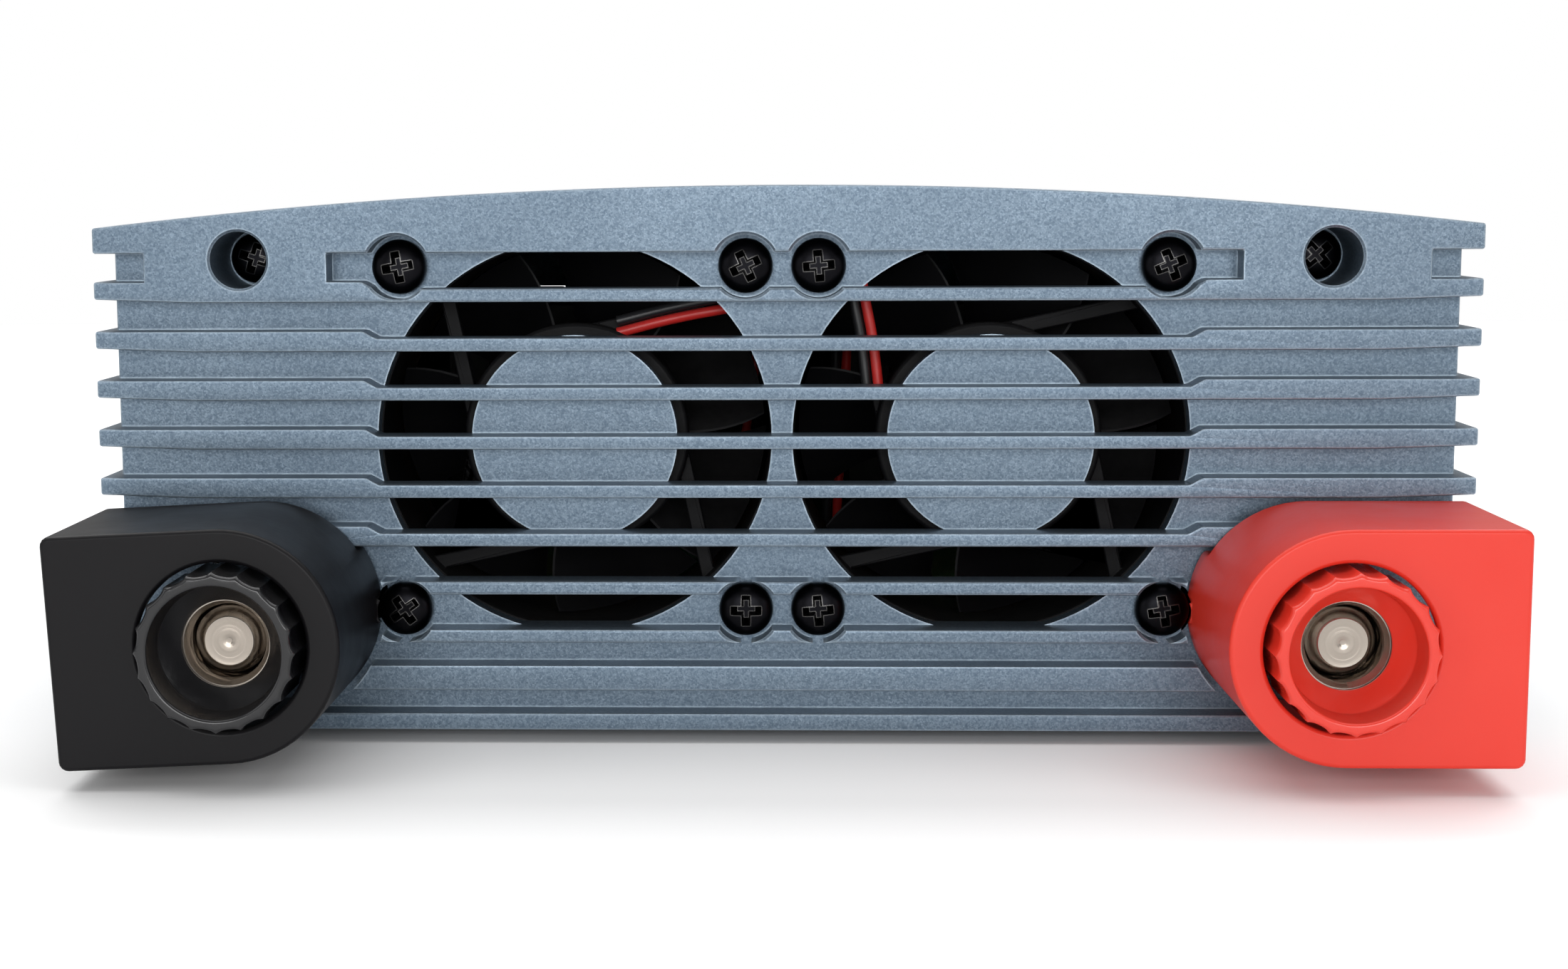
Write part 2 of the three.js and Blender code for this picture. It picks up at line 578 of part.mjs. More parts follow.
/** A bent strip from behind the stud's nut, over the nut and down to the circuit board. */
function busbar() {
  const { front, sheet, over, down, foot, half } = BUSBAR;
  const board = BOARD_Z[1] + GAP + 0.1 - STUD.z;
  const strip = prism("x", outline([
    [front, -half - 1], [front + sheet, -half - 1], [front + sheet, over], [down, over],
    [down, board], [foot, board], [foot, board + sheet], [down + sheet, board + sheet],
    [down + sheet, over + sheet], [front, over + sheet],
  ]), -half, half);
  return strip.subtract(rod(0, 0, STUD.r + GAP, front - 1, front + sheet + 1));
}

both.forEach((side, k) => {
  const pole = ["negative", "positive"][k];
  const plastic = [blackPlastic, redPlastic][k];
  const axis = groupAt(side * STUD.x, 0, STUD.z);
  piece(`stud_${pole}`, terminalStud(), nickel, axis);
  piece(`insulator_${pole}`, insulator(), plastic, axis);
  piece(`washer_${pole}`, ring([
    [STUD.r + 0.5, WASHER.y[0]], [WASHER.r, WASHER.y[0]],
    [WASHER.r, WASHER.y[1]], [STUD.r + 0.5, WASHER.y[1]],
  ]), nickel, axis);
  piece(`knob_${pole}`, clampKnob(), plastic, axis);
  piece(`knob_insert_${pole}`, knobInsert(), nickel, axis);
  const cover = piece(`terminal_cover_${pole}`, terminalCover(side), plastic, axis);
  cover.rotation.y = k === 0 ? THREE.MathUtils.degToRad(-COVER.turn) : 0;

  piece(`busbar_${pole}`, busbar(), copper, axis);
});

// ---- Circuit board and what stands on it -------------------------------------------

const TOP_OF_BOARD = BOARD_Z[1] + GAP + 0.1;

function circuitBoard() {
  const parts = [box([-GROOVE_X, GROOVE_X], [34, 292], BOARD_Z)];
  const low = BOARD_Z[1] - 0.5;
  for (const side of both) {
    for (let k = 0; k < 3; k += 1) {
      const y = 150 + k * 42;
      parts.push(box([side * 52 - 9, side * 52 + 9], [y, y + 12], [low, low + 14]));
    }
  }
  parts.push(box([-24, 24], [62, 68], [low, low + 4]));
  parts.push(box([-18, 18], [226, 250], [low, low + 18]));
  return join(parts);
}

piece("circuit_board", circuitBoard(), boardGreen);

both.forEach((side, k) => {
  const hand = ["left", "right"][k];
  const x = side * 36;
  const y = [84, 124];
  const z = [TOP_OF_BOARD, 58];
  const outer = box([x - 24, x + 24], y, z);
  const windows = both.map((w) => {
    const span = [x + w * 8, x + w * 17].sort((a, b) => a - b);
    return box(span, [y[0] - 1, y[1] + 1], [z[0] + 7, z[1] - 7]);
  });
  piece(`transformer_core_${hand}`, outer.subtract(join(windows)), ferrite);
  const coil = box([x - 16.5, x + 16.5], [y[0] - 8, y[1] + 8], [z[0] + 7.5, z[1] - 7.5]);
  const leg = box([x - 8.3, x + 8.3], [y[0] - GAP, y[1] + GAP], [z[0], z[1]]);
  piece(`transformer_winding_${hand}`, coil.subtract(leg), windingTape);

  const fins = [20, 30, 40, 50].map((height) => (
    box([side * 76, side * 83].sort((a, b) => a - b), [66, 270], [height, height + 3])));
  const back = box([side * 82, side * 87].sort((a, b) => a - b), [66, 270], [TOP_OF_BOARD, 60]);
  piece(`heat_sink_${hand}`, join([back, ...fins]), aluminium);

  const can = new THREE.CylinderGeometry(12.5, 12.5, 45, 20).rotateX(Math.PI / 2);
  can.translate(side * 15, 186, TOP_OF_BOARD + 22.5);
  piece(`bulk_capacitor_${hand}`, solid(can), capacitorSleeve);
});

// ---- AC end ------------------------------------------------------------------------

/** A household socket about the y axis, its face towards +Y and its plate at y = 0. */
function acSocket() {
  const { flange, body, recess, depth, pin } = SOCKET;
  const face = FIN_DEPTH - 0.3;
  const floor = face - depth;
  const shell = turned([
    [0, -24], [body, -24], [body, GAP], [flange, GAP], [flange, face - 0.8], [flange - 0.8, face],
    [recess, face], [recess - 0.4, floor], [0, floor],
  ], 24);
  return both.reduce((made, side) => made.subtract(rod(side * pin, 0, 2.9, -22, 0, 10)), shell);
}

both.forEach((side, k) => {
  const place = groupAt(side * SOCKET.x, AC_Y, SOCKET.z);
  piece(`ac_socket_${["left", "right"][k]}`, acSocket(), blackPlastic, place);
});

const switchPlace = groupAt(SWITCH.x, AC_Y, SWITCH.z);
const bezel = box([-12.5, 12.5], [GAP, 2.3], [-16.5, 16.5]).add(box([-10.4, 10.4], [-14, 1], [-15.2, 15.2]));
const rockerSpace = box([-9, 9], [-12, 4], [-14.2, 14.2]);
piece("switch_bezel", bezel.subtract(rockerSpace), blackPlastic, switchPlace);

const rockerShape = outline([
  [-6, -4], [-3.5, -12], [2.6, -13], [1.6, -6], [1.3, 0], [1.6, 6], [2.6, 13], [-3.5, 12], [-6, 4],
]);
const rocker = piece("switch_rocker", prism("x", rockerShape, -8.6, 8.6), blackPlastic, switchPlace);
rocker.position.y = SWITCH.pivot;
rocker.rotation.x = THREE.MathUtils.degToRad(-SWITCH.turn);

piece("status_light", turned([
  [0, -6], [LIGHT.r, -6], [LIGHT.r, 0.8], [LIGHT.r * 0.8, 2], [LIGHT.r * 0.4, 2.6], [0, 2.7],
], 16), lightLens, groupAt(LIGHT.x, AC_Y, LIGHT.z));

piece("earth_screw", turned([
  [0, -14], [EARTH.shank, -14], [EARTH.shank, GAP], [EARTH.head, GAP], [EARTH.head, 3.2],
  [EARTH.head - 0.8, 4], [0, 4],
], 16), clearSteel, groupAt(EARTH.x, AC_Y, EARTH.z));

const jack = box([-PORT.w / 2, PORT.w / 2], [-14, 1.5], [-PORT.h / 2, PORT.h / 2]);
const jackMouth = box([-5.5, 5.5], [-12, 3], [-4.2, 4.2]);
piece("remote_port", jack.subtract(jackMouth), blackPlastic, groupAt(PORT.x, AC_Y, PORT.z));

// ---- Place the origin on the ground under the middle --------------------------------

const frontY = KNOB.front;
const backY = AC_Y + FIN_DEPTH;
inverter.position.set(0, -(frontY + backY) / 2, -FOOT.low);

export default inverter;
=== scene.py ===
# %% [markdown]
# # A finned power inverter, dressed for the studio
#
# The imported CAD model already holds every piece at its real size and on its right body.
# Here each piece gets its finished surface: rounded casting edges, threads, screw recesses,
# moulded plastic and a speckled paint. Everything is placed from the CAD frame, so a piece
# is never fitted by eye.

# %% Load the frame
import math

import bmesh
import bpy
from mathutils import Euler, Matrix, Vector


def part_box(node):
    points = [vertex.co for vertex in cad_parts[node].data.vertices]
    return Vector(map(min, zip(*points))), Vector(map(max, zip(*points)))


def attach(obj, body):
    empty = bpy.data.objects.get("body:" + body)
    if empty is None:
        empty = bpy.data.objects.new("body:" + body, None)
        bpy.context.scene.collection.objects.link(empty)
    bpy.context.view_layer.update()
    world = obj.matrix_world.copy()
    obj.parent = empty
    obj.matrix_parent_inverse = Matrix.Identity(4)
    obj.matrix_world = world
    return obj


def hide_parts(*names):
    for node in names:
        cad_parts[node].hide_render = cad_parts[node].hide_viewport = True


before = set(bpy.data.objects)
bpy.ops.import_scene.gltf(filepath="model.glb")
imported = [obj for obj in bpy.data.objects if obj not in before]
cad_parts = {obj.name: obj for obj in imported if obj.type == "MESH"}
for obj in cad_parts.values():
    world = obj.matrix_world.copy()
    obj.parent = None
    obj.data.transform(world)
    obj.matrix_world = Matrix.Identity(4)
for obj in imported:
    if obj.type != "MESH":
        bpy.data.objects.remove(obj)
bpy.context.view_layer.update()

# %% [markdown]
# ## Working in the panel's own millimetres
#
# A castings shop draws an end panel from the outer face of its plate, in millimetres. The
# same is done here: x across, y into the case, z up from the underside. One matrix for each
# end then carries those millimetres into the shared frame, which is in metres. The AC panel
# is the same drawing, turned half a turn.

# %% Places of the two ends
MM = 0.001
FIN_DEPTH = 4.5
HALF_TURN = Matrix.Rotation(math.pi, 4, "Z")
SIDES = {"left": -1, "right": 1}
POLES = {"negative": -1, "positive": 1}


def panel_frame(face_y, low_z):
    """Millimetres from a panel's face to metres in the row."""
    return Matrix.Translation((0, face_y, low_z)) @ Matrix.Scale(MM, 4)


dc_low, dc_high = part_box("dc_end_panel")
ac_low, ac_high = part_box("ac_end_panel")
DC = panel_frame(dc_low.y + FIN_DEPTH * MM, dc_low.z)
AC_OUT = panel_frame(ac_high.y - FIN_DEPTH * MM, ac_low.z)
AC = AC_OUT @ HALF_TURN
AC_Y = (ac_high.y - dc_low.y) / MM - 2 * FIN_DEPTH
print("distance between the two plates' faces, mm:", round(AC_Y, 2))


def centre_of(node, place=DC):
    """A node's middle, in a panel's millimetres."""
    low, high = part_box(node)
    return place.inverted() @ ((low + high) / 2)


def corners_of(node, place=DC):
    """The two ends of a node's box, in a panel's millimetres."""
    return [place.inverted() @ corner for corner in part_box(node)]


# %% [markdown]
# ## The camera
#
# The inverter is looked at from just below the top of its crown, almost square on, with a
# short tele lens. The camera comes first, because it settles what needs the finest work.
# Its place is given in the panel's millimetres too. The small shift frames the object a
# little left of the middle without turning the camera, so the sides stay parallel.

# %% Camera
CAMERA_PLACE = (0.53, -350.0, 77.8)
CAMERA_YAW = -1.96
CAMERA_PITCH = 7.47
CAMERA_ROLL = -0.25
LENS = 55.47
SHIFT = (0.0512, 0.0164)
SENSOR, NEAREST = 36.0, 0.01

camera_data = bpy.data.cameras.new("camera")
camera_data.lens = LENS
camera_data.sensor_width = SENSOR
camera_data.shift_x, camera_data.shift_y = SHIFT
camera_data.clip_start = NEAREST
camera = bpy.data.objects.new("camera", camera_data)
aim = Euler((math.radians(90 - CAMERA_PITCH), 0, math.radians(-CAMERA_YAW))).to_matrix()
roll = Euler((0, 0, math.radians(CAMERA_ROLL))).to_matrix()
camera.matrix_world = Matrix.Translation(DC @ Vector(CAMERA_PLACE)) @ (aim @ roll).to_4x4()
bpy.context.collection.objects.link(camera)
bpy.context.scene.camera = camera
print("camera at", [round(v, 4) for v in camera.location])

# %% [markdown]
# ## Shader helpers
#
# A material is a small machine of nodes. One helper places a node with its settings, one
# runs a wire or sets a number, and one does a sum, so that each finish further down reads as
# a list of what it is made of. The floor is the first to need them.

# %% Nodes and wires
def put(tree, socket, value):
    """Feeds a socket: with a wire where the value is another socket, else with the value."""
    if isinstance(value, bpy.types.NodeSocket):
        tree.links.new(value, socket)
    else:
        socket.default_value = value


def add(tree, kind, settings=None, **values):
    """A node of a kind. settings are its options, values go to its sockets by name."""
    made = tree.nodes.new("ShaderNode" + kind)
    for name, value in (settings or {}).items():
        setattr(made, name, value)
    for name, value in values.items():
        put(tree, made.inputs[name.replace("_", " ")], value)
    return made


def calc(tree, operation, *terms, kind="Math", result=0, **settings):
    """One result of a sum whose terms are numbers or sockets."""
    made = add(tree, kind, {"operation": operation, **settings})
    for socket, term in zip(made.inputs, terms):
        put(tree, socket, term)
    return made.outputs[result]


# %% [markdown]
# ## The floor
#
# A product table is a pale sweep of matt board. It is only as large as the lamps can light
# evenly, so that it runs out into the white behind it without a horizon. A trace of
# unevenness keeps it from looking like plain colour.

# %% Floor
FLOOR_HALF, FLOOR_FRONT, FLOOR_BACK = 1.0, -0.8, 1.0
FLOOR_GREYS, FLOOR_CLOUDS, FLOOR_ROUGHNESS = (0.93, 0.96), 3.0, 0.75


def floor_material():
    material = bpy.data.materials.new("floor_board")
    material.use_nodes = True
    tree = material.node_tree
    place = add(tree, "TexCoord").outputs["Object"]
    noise = add(tree, "TexNoise", Vector=place, Scale=FLOOR_CLOUDS)
    tint = add(tree, "ValToRGB", Fac=noise.outputs["Fac"])
    for stop, grey in zip(tint.color_ramp.elements, FLOOR_GREYS):
        stop.color = (grey, grey, grey, 1)
    shader = tree.nodes["Principled BSDF"]
    put(tree, shader.inputs["Base Color"], tint.outputs["Color"])
    put(tree, shader.inputs["Roughness"], FLOOR_ROUGHNESS)
    return material


floor_mesh = bpy.data.meshes.new("floor")
floor_mesh.from_pydata(
    [(-FLOOR_HALF, FLOOR_FRONT, 0), (FLOOR_HALF, FLOOR_FRONT, 0),
     (FLOOR_HALF, FLOOR_BACK, 0), (-FLOOR_HALF, FLOOR_BACK, 0)],
    [], [(0, 1, 2, 3)])
floor_mesh.materials.append(floor_material())
floor = bpy.data.objects.new("floor", floor_mesh)
bpy.context.collection.objects.link(floor)
print("floor, m:", 2 * FLOOR_HALF, "by", FLOOR_BACK - FLOOR_FRONT)

# %% [markdown]
# ## The lamps
#
# Large soft lamps give large soft highlights. One hangs over the object and draws the thin
# bright lines on the upper edges of the fins. Two weaker ones stand at the sides, and a low
# one in front fills the faces that the lens sees. The strongest lights only the floor behind
# the object, which would fall off to grey without it.

# %% Lamps
LAMPS = {
    "lamp_over": ((0.0, -0.2, 1.0), (0, -0.1, 0.03), (1.5, 0.8), 6),
    "lamp_left": ((-1.2, -0.9, 0.5), (0, -0.1, 0.04), (0.7, 0.9), 3),
    "lamp_right": ((1.2, -0.9, 0.5), (0, -0.1, 0.04), (0.7, 0.9), 3),
    "lamp_front": ((0.0, -1.5, 0.3), (0, -0.1, 0.04), (1.2, 0.5), 10.5),
    "lamp_back": ((0.0, 0.9, 1.3), (0, 0.7, 0.0), (2.4, 1.0), 26),
}


def soft_lamp(name, place, target, size, power):
    """A square softbox at a place, facing a target, in metres and watts."""
    data = bpy.data.lights.new(name, "AREA")
    data.shape = "RECTANGLE"
    data.size, data.size_y = size
    data.energy = power
    lamp = bpy.data.objects.new(name, data)
    lamp.location = place
    lamp.rotation_euler = (Vector(target) - Vector(place)).to_track_quat("-Z", "Y").to_euler()
    bpy.context.collection.objects.link(lamp)


for name, values in LAMPS.items():
    soft_lamp(name, *values)
print("lamps:", sorted(LAMPS))

# %% [markdown]
# ## The world
#
# The sweep behind the object is white. The lamps do most of the lighting, so the world is
# dimmer for the object than it looks: only what the lens sees directly is full white.

# %% World
WORLD_LIGHT, WORLD_SEEN = 0.35, 1.0
world = bpy.data.worlds.new("studio")
bpy.context.scene.world = world
world.use_nodes = True
sky = world.node_tree
seen = add(sky, "LightPath").outputs["Is Camera Ray"]
level = add(sky, "MapRange", Value=seen, To_Min=WORLD_LIGHT, To_Max=WORLD_SEEN)
put(sky, sky.nodes["Background"].inputs["Color"], (1, 1, 1, 1))
put(sky, sky.nodes["Background"].inputs["Strength"], level.outputs[0])
bpy.context.scene.view_settings.view_transform = "Standard"
print("world light", WORLD_LIGHT, "and seen as", WORLD_SEEN)

# %% [markdown]
# ## Shared mesh helpers
#
# Nearly every piece is either sawn from a drawn outline or turned on a lathe, so two helpers
# make most of the shapes. A third cuts and joins solids exactly, as a mill would, and a
# fourth rounds the edges that are left, because no cast, moulded or turned edge is sharp.

# %% Outlines, prisms and turned solids
def rounded(points, steps=4):
    """An outline whose corners given as (a, b, radius) are replaced by arcs."""
    made = []
    count = len(points)
    for k, point in enumerate(points):
        if len(point) == 2 or point[2] <= 0:
            made.append((point[0], point[1]))
            continue
        here = Vector(point[:2])
        back = (Vector(points[k - 1][:2]) - here).normalized()
        ahead = (Vector(points[(k + 1) % count][:2]) - here).normalized()
        half_angle = back.angle(ahead) / 2
        reach = point[2] / math.tan(half_angle)
        middle = here + (back + ahead).normalized() * (point[2] / math.sin(half_angle))
        start = here + back * reach - middle
        end = here + ahead * reach - middle
        for s in range(steps + 1):
            spoke = start.lerp(end, s / steps).normalized() * point[2]
            made.append(tuple(middle + spoke))
    return made


def oblong(half_a, half_b, corner, at=(0, 0), steps=5):
    """A rectangle about a point, with round corners."""
    a, b = at
    return rounded([(a - half_a, b - half_b, corner), (a + half_a, b - half_b, corner),
                    (a + half_a, b + half_b, corner), (a - half_a, b + half_b, corner)], steps)


def new_object(name, verts, faces, place=DC):
    """A mesh object whose points are carried into the row, with its faces pointing out."""
    mesh = bpy.data.meshes.new(name)
    mesh.from_pydata([place @ Vector(v) for v in verts], [], faces)
    shell = bmesh.new()
    shell.from_mesh(mesh)
    bmesh.ops.recalc_face_normals(shell, faces=shell.faces)
    shell.to_mesh(mesh)
    shell.free()
    made = bpy.data.objects.new(name, mesh)
    bpy.context.collection.objects.link(made)
    return made


def prism(name, outline, start, end, place=DC, axis="y"):
    """An (x, z) outline drawn out along y, or a (y, z) outline along x."""
    count = len(outline)
    if axis == "y":
        verts = [(a, y, b) for y in (start, end) for a, b in outline]
    else:
        verts = [(x, a, b) for x in (start, end) for a, b in outline]
    faces = [tuple(range(count)), tuple(range(2 * count - 1, count - 1, -1))]
    faces += [(k, (k + 1) % count, count + (k + 1) % count, count + k) for k in range(count)]
    return new_object(name, verts, faces, place)


def block(name, x, y, z, place=DC):
    """A rectangular solid from three pairs of limits."""
    return prism(name, [(x[0], z[0]), (x[1], z[0]), (x[1], z[1]), (x[0], z[1])], *y, place)


def turned(name, profile, centre=(0, 0), sides=64, ring=False, swell=None, place=DC):
    """A profile of (radius, y) turned about a y axis through centre. A ring closes on itself.
    swell(radius, y, angle) may push a point in or out, for scallops and threads."""
    cx, cz = centre
    verts, rows = [], []
    for r, y in profile:
        if r <= 0:
            rows.append([len(verts)] * sides)
            verts.append((cx, y, cz))
            continue
        rows.append(list(range(len(verts), len(verts) + sides)))
        for k in range(sides):
            angle = 2 * math.pi * k / sides
            radius = swell(r, y, angle) if swell else r
            verts.append((cx + radius * math.cos(angle), y, cz + radius * math.sin(angle)))
    faces = []
    pairs = list(zip(rows, rows[1:])) + ([(rows[-1], rows[0])] if ring else [])
    for low, high in pairs:
        for k in range(sides):
            quad = (low[k], low[(k + 1) % sides], high[(k + 1) % sides], high[k])
            face = tuple(dict.fromkeys(quad))
            if len(face) > 2:
                faces.append(face)
    return new_object(name, verts, faces, place)


# %% Cuts, joints and soft edges
def settle(piece):
    """Turns a piece's modifiers into its own mesh."""
    graph = bpy.context.evaluated_depsgraph_get()
    mesh = bpy.data.meshes.new_from_object(piece.evaluated_get(graph))
    piece.modifiers.clear()
    old = piece.data
    piece.data = mesh
    bpy.data.meshes.remove(old)
    return piece


def combine(body, tools, operation):
    """Joins tools to a body, or cuts them from it, and uses the tools up."""
    bench = bpy.data.collections.new("bench")
    for tool in tools:
        bench.objects.link(tool)
    step = body.modifiers.new(operation, "BOOLEAN")
    step.operand_type = "COLLECTION"
    step.collection = bench
    step.operation = operation
    step.solver = "EXACT"
    step.use_self = True
    settle(body)
    for tool in list(tools):
        bpy.data.objects.remove(tool)
    bpy.data.collections.remove(bench)
    return body


def join(body, tools):
    return combine(body, tools, "UNION")


def cut(body, tools):
    return combine(body, tools, "DIFFERENCE")


def clean(piece, angle=0.4):
    """Merges what a cut leaves behind: double points and seams across flat faces."""
    shell = bmesh.new()
    shell.from_mesh(piece.data)
    bmesh.ops.remove_doubles(shell, verts=shell.verts, dist=2e-6)
    bmesh.ops.dissolve_limit(
        shell, angle_limit=math.radians(angle), verts=shell.verts, edges=shell.edges)
    shell.to_mesh(piece.data)
    shell.free()
    return piece


def bevelled(piece, width, segments=2, angle=35):
    """Rounds every edge sharper than the angle, by a width in millimetres."""
    edge = piece.modifiers.new("edges", "BEVEL")
    edge.width = width * MM
    edge.segments = segments
    edge.limit_method = "ANGLE"
    edge.angle_limit = math.radians(angle)
    edge.use_clamp_overlap = False
    return piece


def soft_edges(piece, width, segments=2, angle=35):
    """Rounded edges with flats that stay flat, for a piece that needs no more cuts."""
    bevelled(piece, width, segments, angle)
    piece.data.polygons.foreach_set("use_smooth", [True] * len(piece.data.polygons))
    shading = piece.modifiers.new("shading", "WEIGHTED_NORMAL")
    shading.keep_sharp = True
    return piece


def smooth(piece, angle=40):
    """Shades a turned piece smoothly, apart from its real corners."""
    piece.data.polygons.foreach_set("use_smooth", [True] * len(piece.data.polygons))
    piece.data.set_sharp_from_angle(angle=math.radians(angle))
    return piece


# %% [markdown]
# ## Shared effects
#
# Six effects come back in many finishes. Each is a group that puts out only masks and
# heights, and the material decides how to use them. Sizes go in as millimetres.

# %% Groups
def colour(text):
    """A colour written as six hex digits, in the linear values that shaders use."""
    parts = [int(text[k:k + 2], 16) / 255 for k in (0, 2, 4)]
    linear = [c / 12.92 if c <= 0.04045 else ((c + 0.055) / 1.055) ** 2.4 for c in parts]
    return (*linear, 1.0)


def new_group(name, inputs, outputs):
    """A group with a place, number inputs with their values, and number outputs. Gives its
    tree, a lookup of what comes in, and a function that sends a result out."""
    tree = bpy.data.node_groups.new(name, "ShaderNodeTree")
    tree.interface.new_socket("Place", in_out="INPUT", socket_type="NodeSocketVector")
    for label, value in inputs.items():
        kind = "Float" if isinstance(value, float) else "Vector"
        socket = tree.interface.new_socket(label, in_out="INPUT", socket_type="NodeSocket" + kind)
        socket.default_value = value
    for label in outputs:
        tree.interface.new_socket(label, in_out="OUTPUT", socket_type="NodeSocketFloat")
    come_in = tree.nodes.new("NodeGroupInput").outputs
    go_out = tree.nodes.new("NodeGroupOutput").inputs
    return tree, come_in, lambda label, value: put(tree, go_out[label], value)


def per_metre(tree, size_mm):
    """The texture scale that makes one cell a size in millimetres."""
    return calc(tree, "DIVIDE", 1 / MM, size_mm)


# %% [markdown]
# ### Speckle
#
# Metal flake in a paint is a scatter of tiny plates, and only those that lie right shine.
# Cells give the plates, noise of the same size thins them out unevenly.

# %% Speckle
def speckle_group():
    tree, given, send = new_group("speckle", {"Flake mm": 0.4, "Density": 0.5}, ["Mask", "Height"])
    at, scale = given["Place"], per_metre(tree, given["Flake mm"])
    cells = add(tree, "TexVoronoi", Vector=at, Scale=scale)
    clumps = add(tree, "TexNoise", Vector=at, Scale=scale, Detail=2.0, Roughness=0.6).outputs["Fac"]
    pick = add(tree, "SeparateColor", Color=cells.outputs["Color"]).outputs[0]
    lit = calc(tree, "MULTIPLY", pick, clumps)
    send("Mask", add(tree, "MapRange", Value=lit, From_Max=given["Density"]).outputs[0])
    send("Height", clumps)
    return tree


SPECKLE = speckle_group()
print("shared effect:", SPECKLE.name)

# %% [markdown]
# ### Grain
#
# Any moulded, cast or sprayed skin is slightly uneven, finely in its height and broadly in
# its colour and gloss. Two noises of different size give both.

# %% Grain
def grain_group():
    tree, given, send = new_group("grain", {"Size mm": 0.6, "Patch mm": 18.0}, ["Height", "Patches"])
    for size, outlet, detail in (("Size mm", "Height", 3.0), ("Patch mm", "Patches", 4.0)):
        noise = add(tree, "TexNoise", Vector=given["Place"], Scale=per_metre(tree, given[size]),
                    Detail=detail, Roughness=0.55)
        send(outlet, noise.outputs["Fac"])
    return tree


GRAIN = grain_group()
print("shared effect:", GRAIN.name)

# %% [markdown]
# ### Edge wear and painted highlight
#
# Paint is thin on a corner and plastic is rubbed bright there. The same lighter corners are
# also a painted highlight, standing in for the thin bright lines that light draws on rounded
# edges. A normal that is rounded over a small radius leaves the true one only near a corner,
# so their likeness finds the corners.

# %% Edge wear and painted highlight
FLAT, CORNER = 0.995, 0.85
EDGE_BREAKUP_NOISE = {"Scale": 260.0, "Detail": 4.0}


def edge_wear_and_highlight_group():
    tree, given, send = new_group("edge_wear_and_painted_highlight", {"Radius mm": 0.5, "Break up": 0.5}, ["Mask"])
    radius = calc(tree, "MULTIPLY", given["Radius mm"], MM)
    rounded_over = add(tree, "Bevel", {"samples": 4}, Radius=radius).outputs["Normal"]
    true_normal = add(tree, "NewGeometry").outputs["Normal"]
    likeness = calc(tree, "DOT_PRODUCT", rounded_over, true_normal, kind="VectorMath",
                    result="Value")
    edges = add(tree, "MapRange", Value=likeness, From_Min=FLAT, From_Max=CORNER)
    noise = add(tree, "TexNoise", Vector=given["Place"], **EDGE_BREAKUP_NOISE).outputs["Fac"]
    least = calc(tree, "SUBTRACT", 1.0, given["Break up"])
    patchy = add(tree, "MapRange", Value=noise, From_Min=0.35, From_Max=0.6, To_Min=least)
    # This mask lightens corners in every finish, as wear and as a painted highlight.
    send("Mask", calc(tree, "MULTIPLY", edges.outputs[0], patchy.outputs[0]))
    return tree


EDGE_WEAR_AND_HIGHLIGHT = edge_wear_and_highlight_group()
print("shared effect:", EDGE_WEAR_AND_HIGHLIGHT.name)

# %% [markdown]
# ### Dust
#
# Dust lies on what faces up, more in some spots than in others.

# %% Dust
def dust_group():
    tree, given, send = new_group("dust", {"Amount": 0.1}, ["Mask"])
    normal = add(tree, "NewGeometry").outputs["Normal"]
    facing = add(tree, "SeparateXYZ", Vector=normal).outputs["Z"]
    upward = add(tree, "MapRange", Value=facing, From_Min=0.3).outputs[0]
    noise = add(tree, "TexNoise", Vector=given["Place"], Scale=420.0, Detail=6.0, Roughness=0.7)
    settled = calc(tree, "MULTIPLY", upward, noise.outputs["Fac"])
    send("Mask", calc(tree, "MULTIPLY", settled, given["Amount"]))
    return tree


DUST = dust_group()
print("shared effect:", DUST.name)

# %% [markdown]
# ### Turning marks
#
# A lathe leaves rings at the pitch of its feed: round the axis on a face, along it on a
# shank. The distance from the axis plus the distance along it gives both from one noise.

# %% Turning marks
def turning_group():
    tree, given, send = new_group(
        "turning marks", {"Axis at": (0.0, 0.0, 0.0), "Feed mm": 0.3}, ["Rings"])
    shift = calc(tree, "SUBTRACT", given["Place"], given["Axis at"], kind="VectorMath")
    flat = calc(tree, "MULTIPLY", shift, (1, 0, 1), kind="VectorMath")
    radius = calc(tree, "LENGTH", flat, kind="VectorMath", result="Value")
    depth = add(tree, "SeparateXYZ", Vector=shift).outputs["Y"]
    path_mm = calc(tree, "MULTIPLY", calc(tree, "ADD", radius, depth), 1 / MM)
    turns = calc(tree, "DIVIDE", path_mm, given["Feed mm"])
    uneven = add(tree, "TexNoise", {"noise_dimensions": "1D"}, W=turns, Scale=1.0, Detail=2.0)
    send("Rings", uneven.outputs["Fac"])
    return tree


TURNING = turning_group()
print("shared effect:", TURNING.name)

# %% [markdown]
# ### Die lines
#
# An extrusion is scored along its length by its die. Noise stretched a hundred times along
# that direction gives the streaks.

# %% Die lines
STRETCH = (1, 0.01, 1)


def die_lines_group():
    tree, given, send = new_group("die lines", {"Line mm": 0.5}, ["Lines"])
    stretched = calc(tree, "MULTIPLY", given["Place"], STRETCH, kind="VectorMath")
    scale = per_metre(tree, given["Line mm"])
    noise = add(tree, "TexNoise", Vector=stretched, Scale=scale, Detail=3.0)
    send("Lines", noise.outputs["Fac"])
    return tree


DIE_LINES = die_lines_group()
print("shared effects:", sorted(group.name for group in bpy.data.node_groups))

# %% [markdown]
# ## Finishes
#
# Every finish starts the same way: a shader, the object's own coordinates and the grain of
# its skin. A small recipe holds those common steps. Colour is mixed in layers, each under a
# mask, the way paint, wear and dust lie over each other, with a painted highlight on the
# corners, and one bump node takes the height.

# %% A finish in layers
MIX_UNDER, MIX_OVER, MIX_RESULT = 6, 7, 2


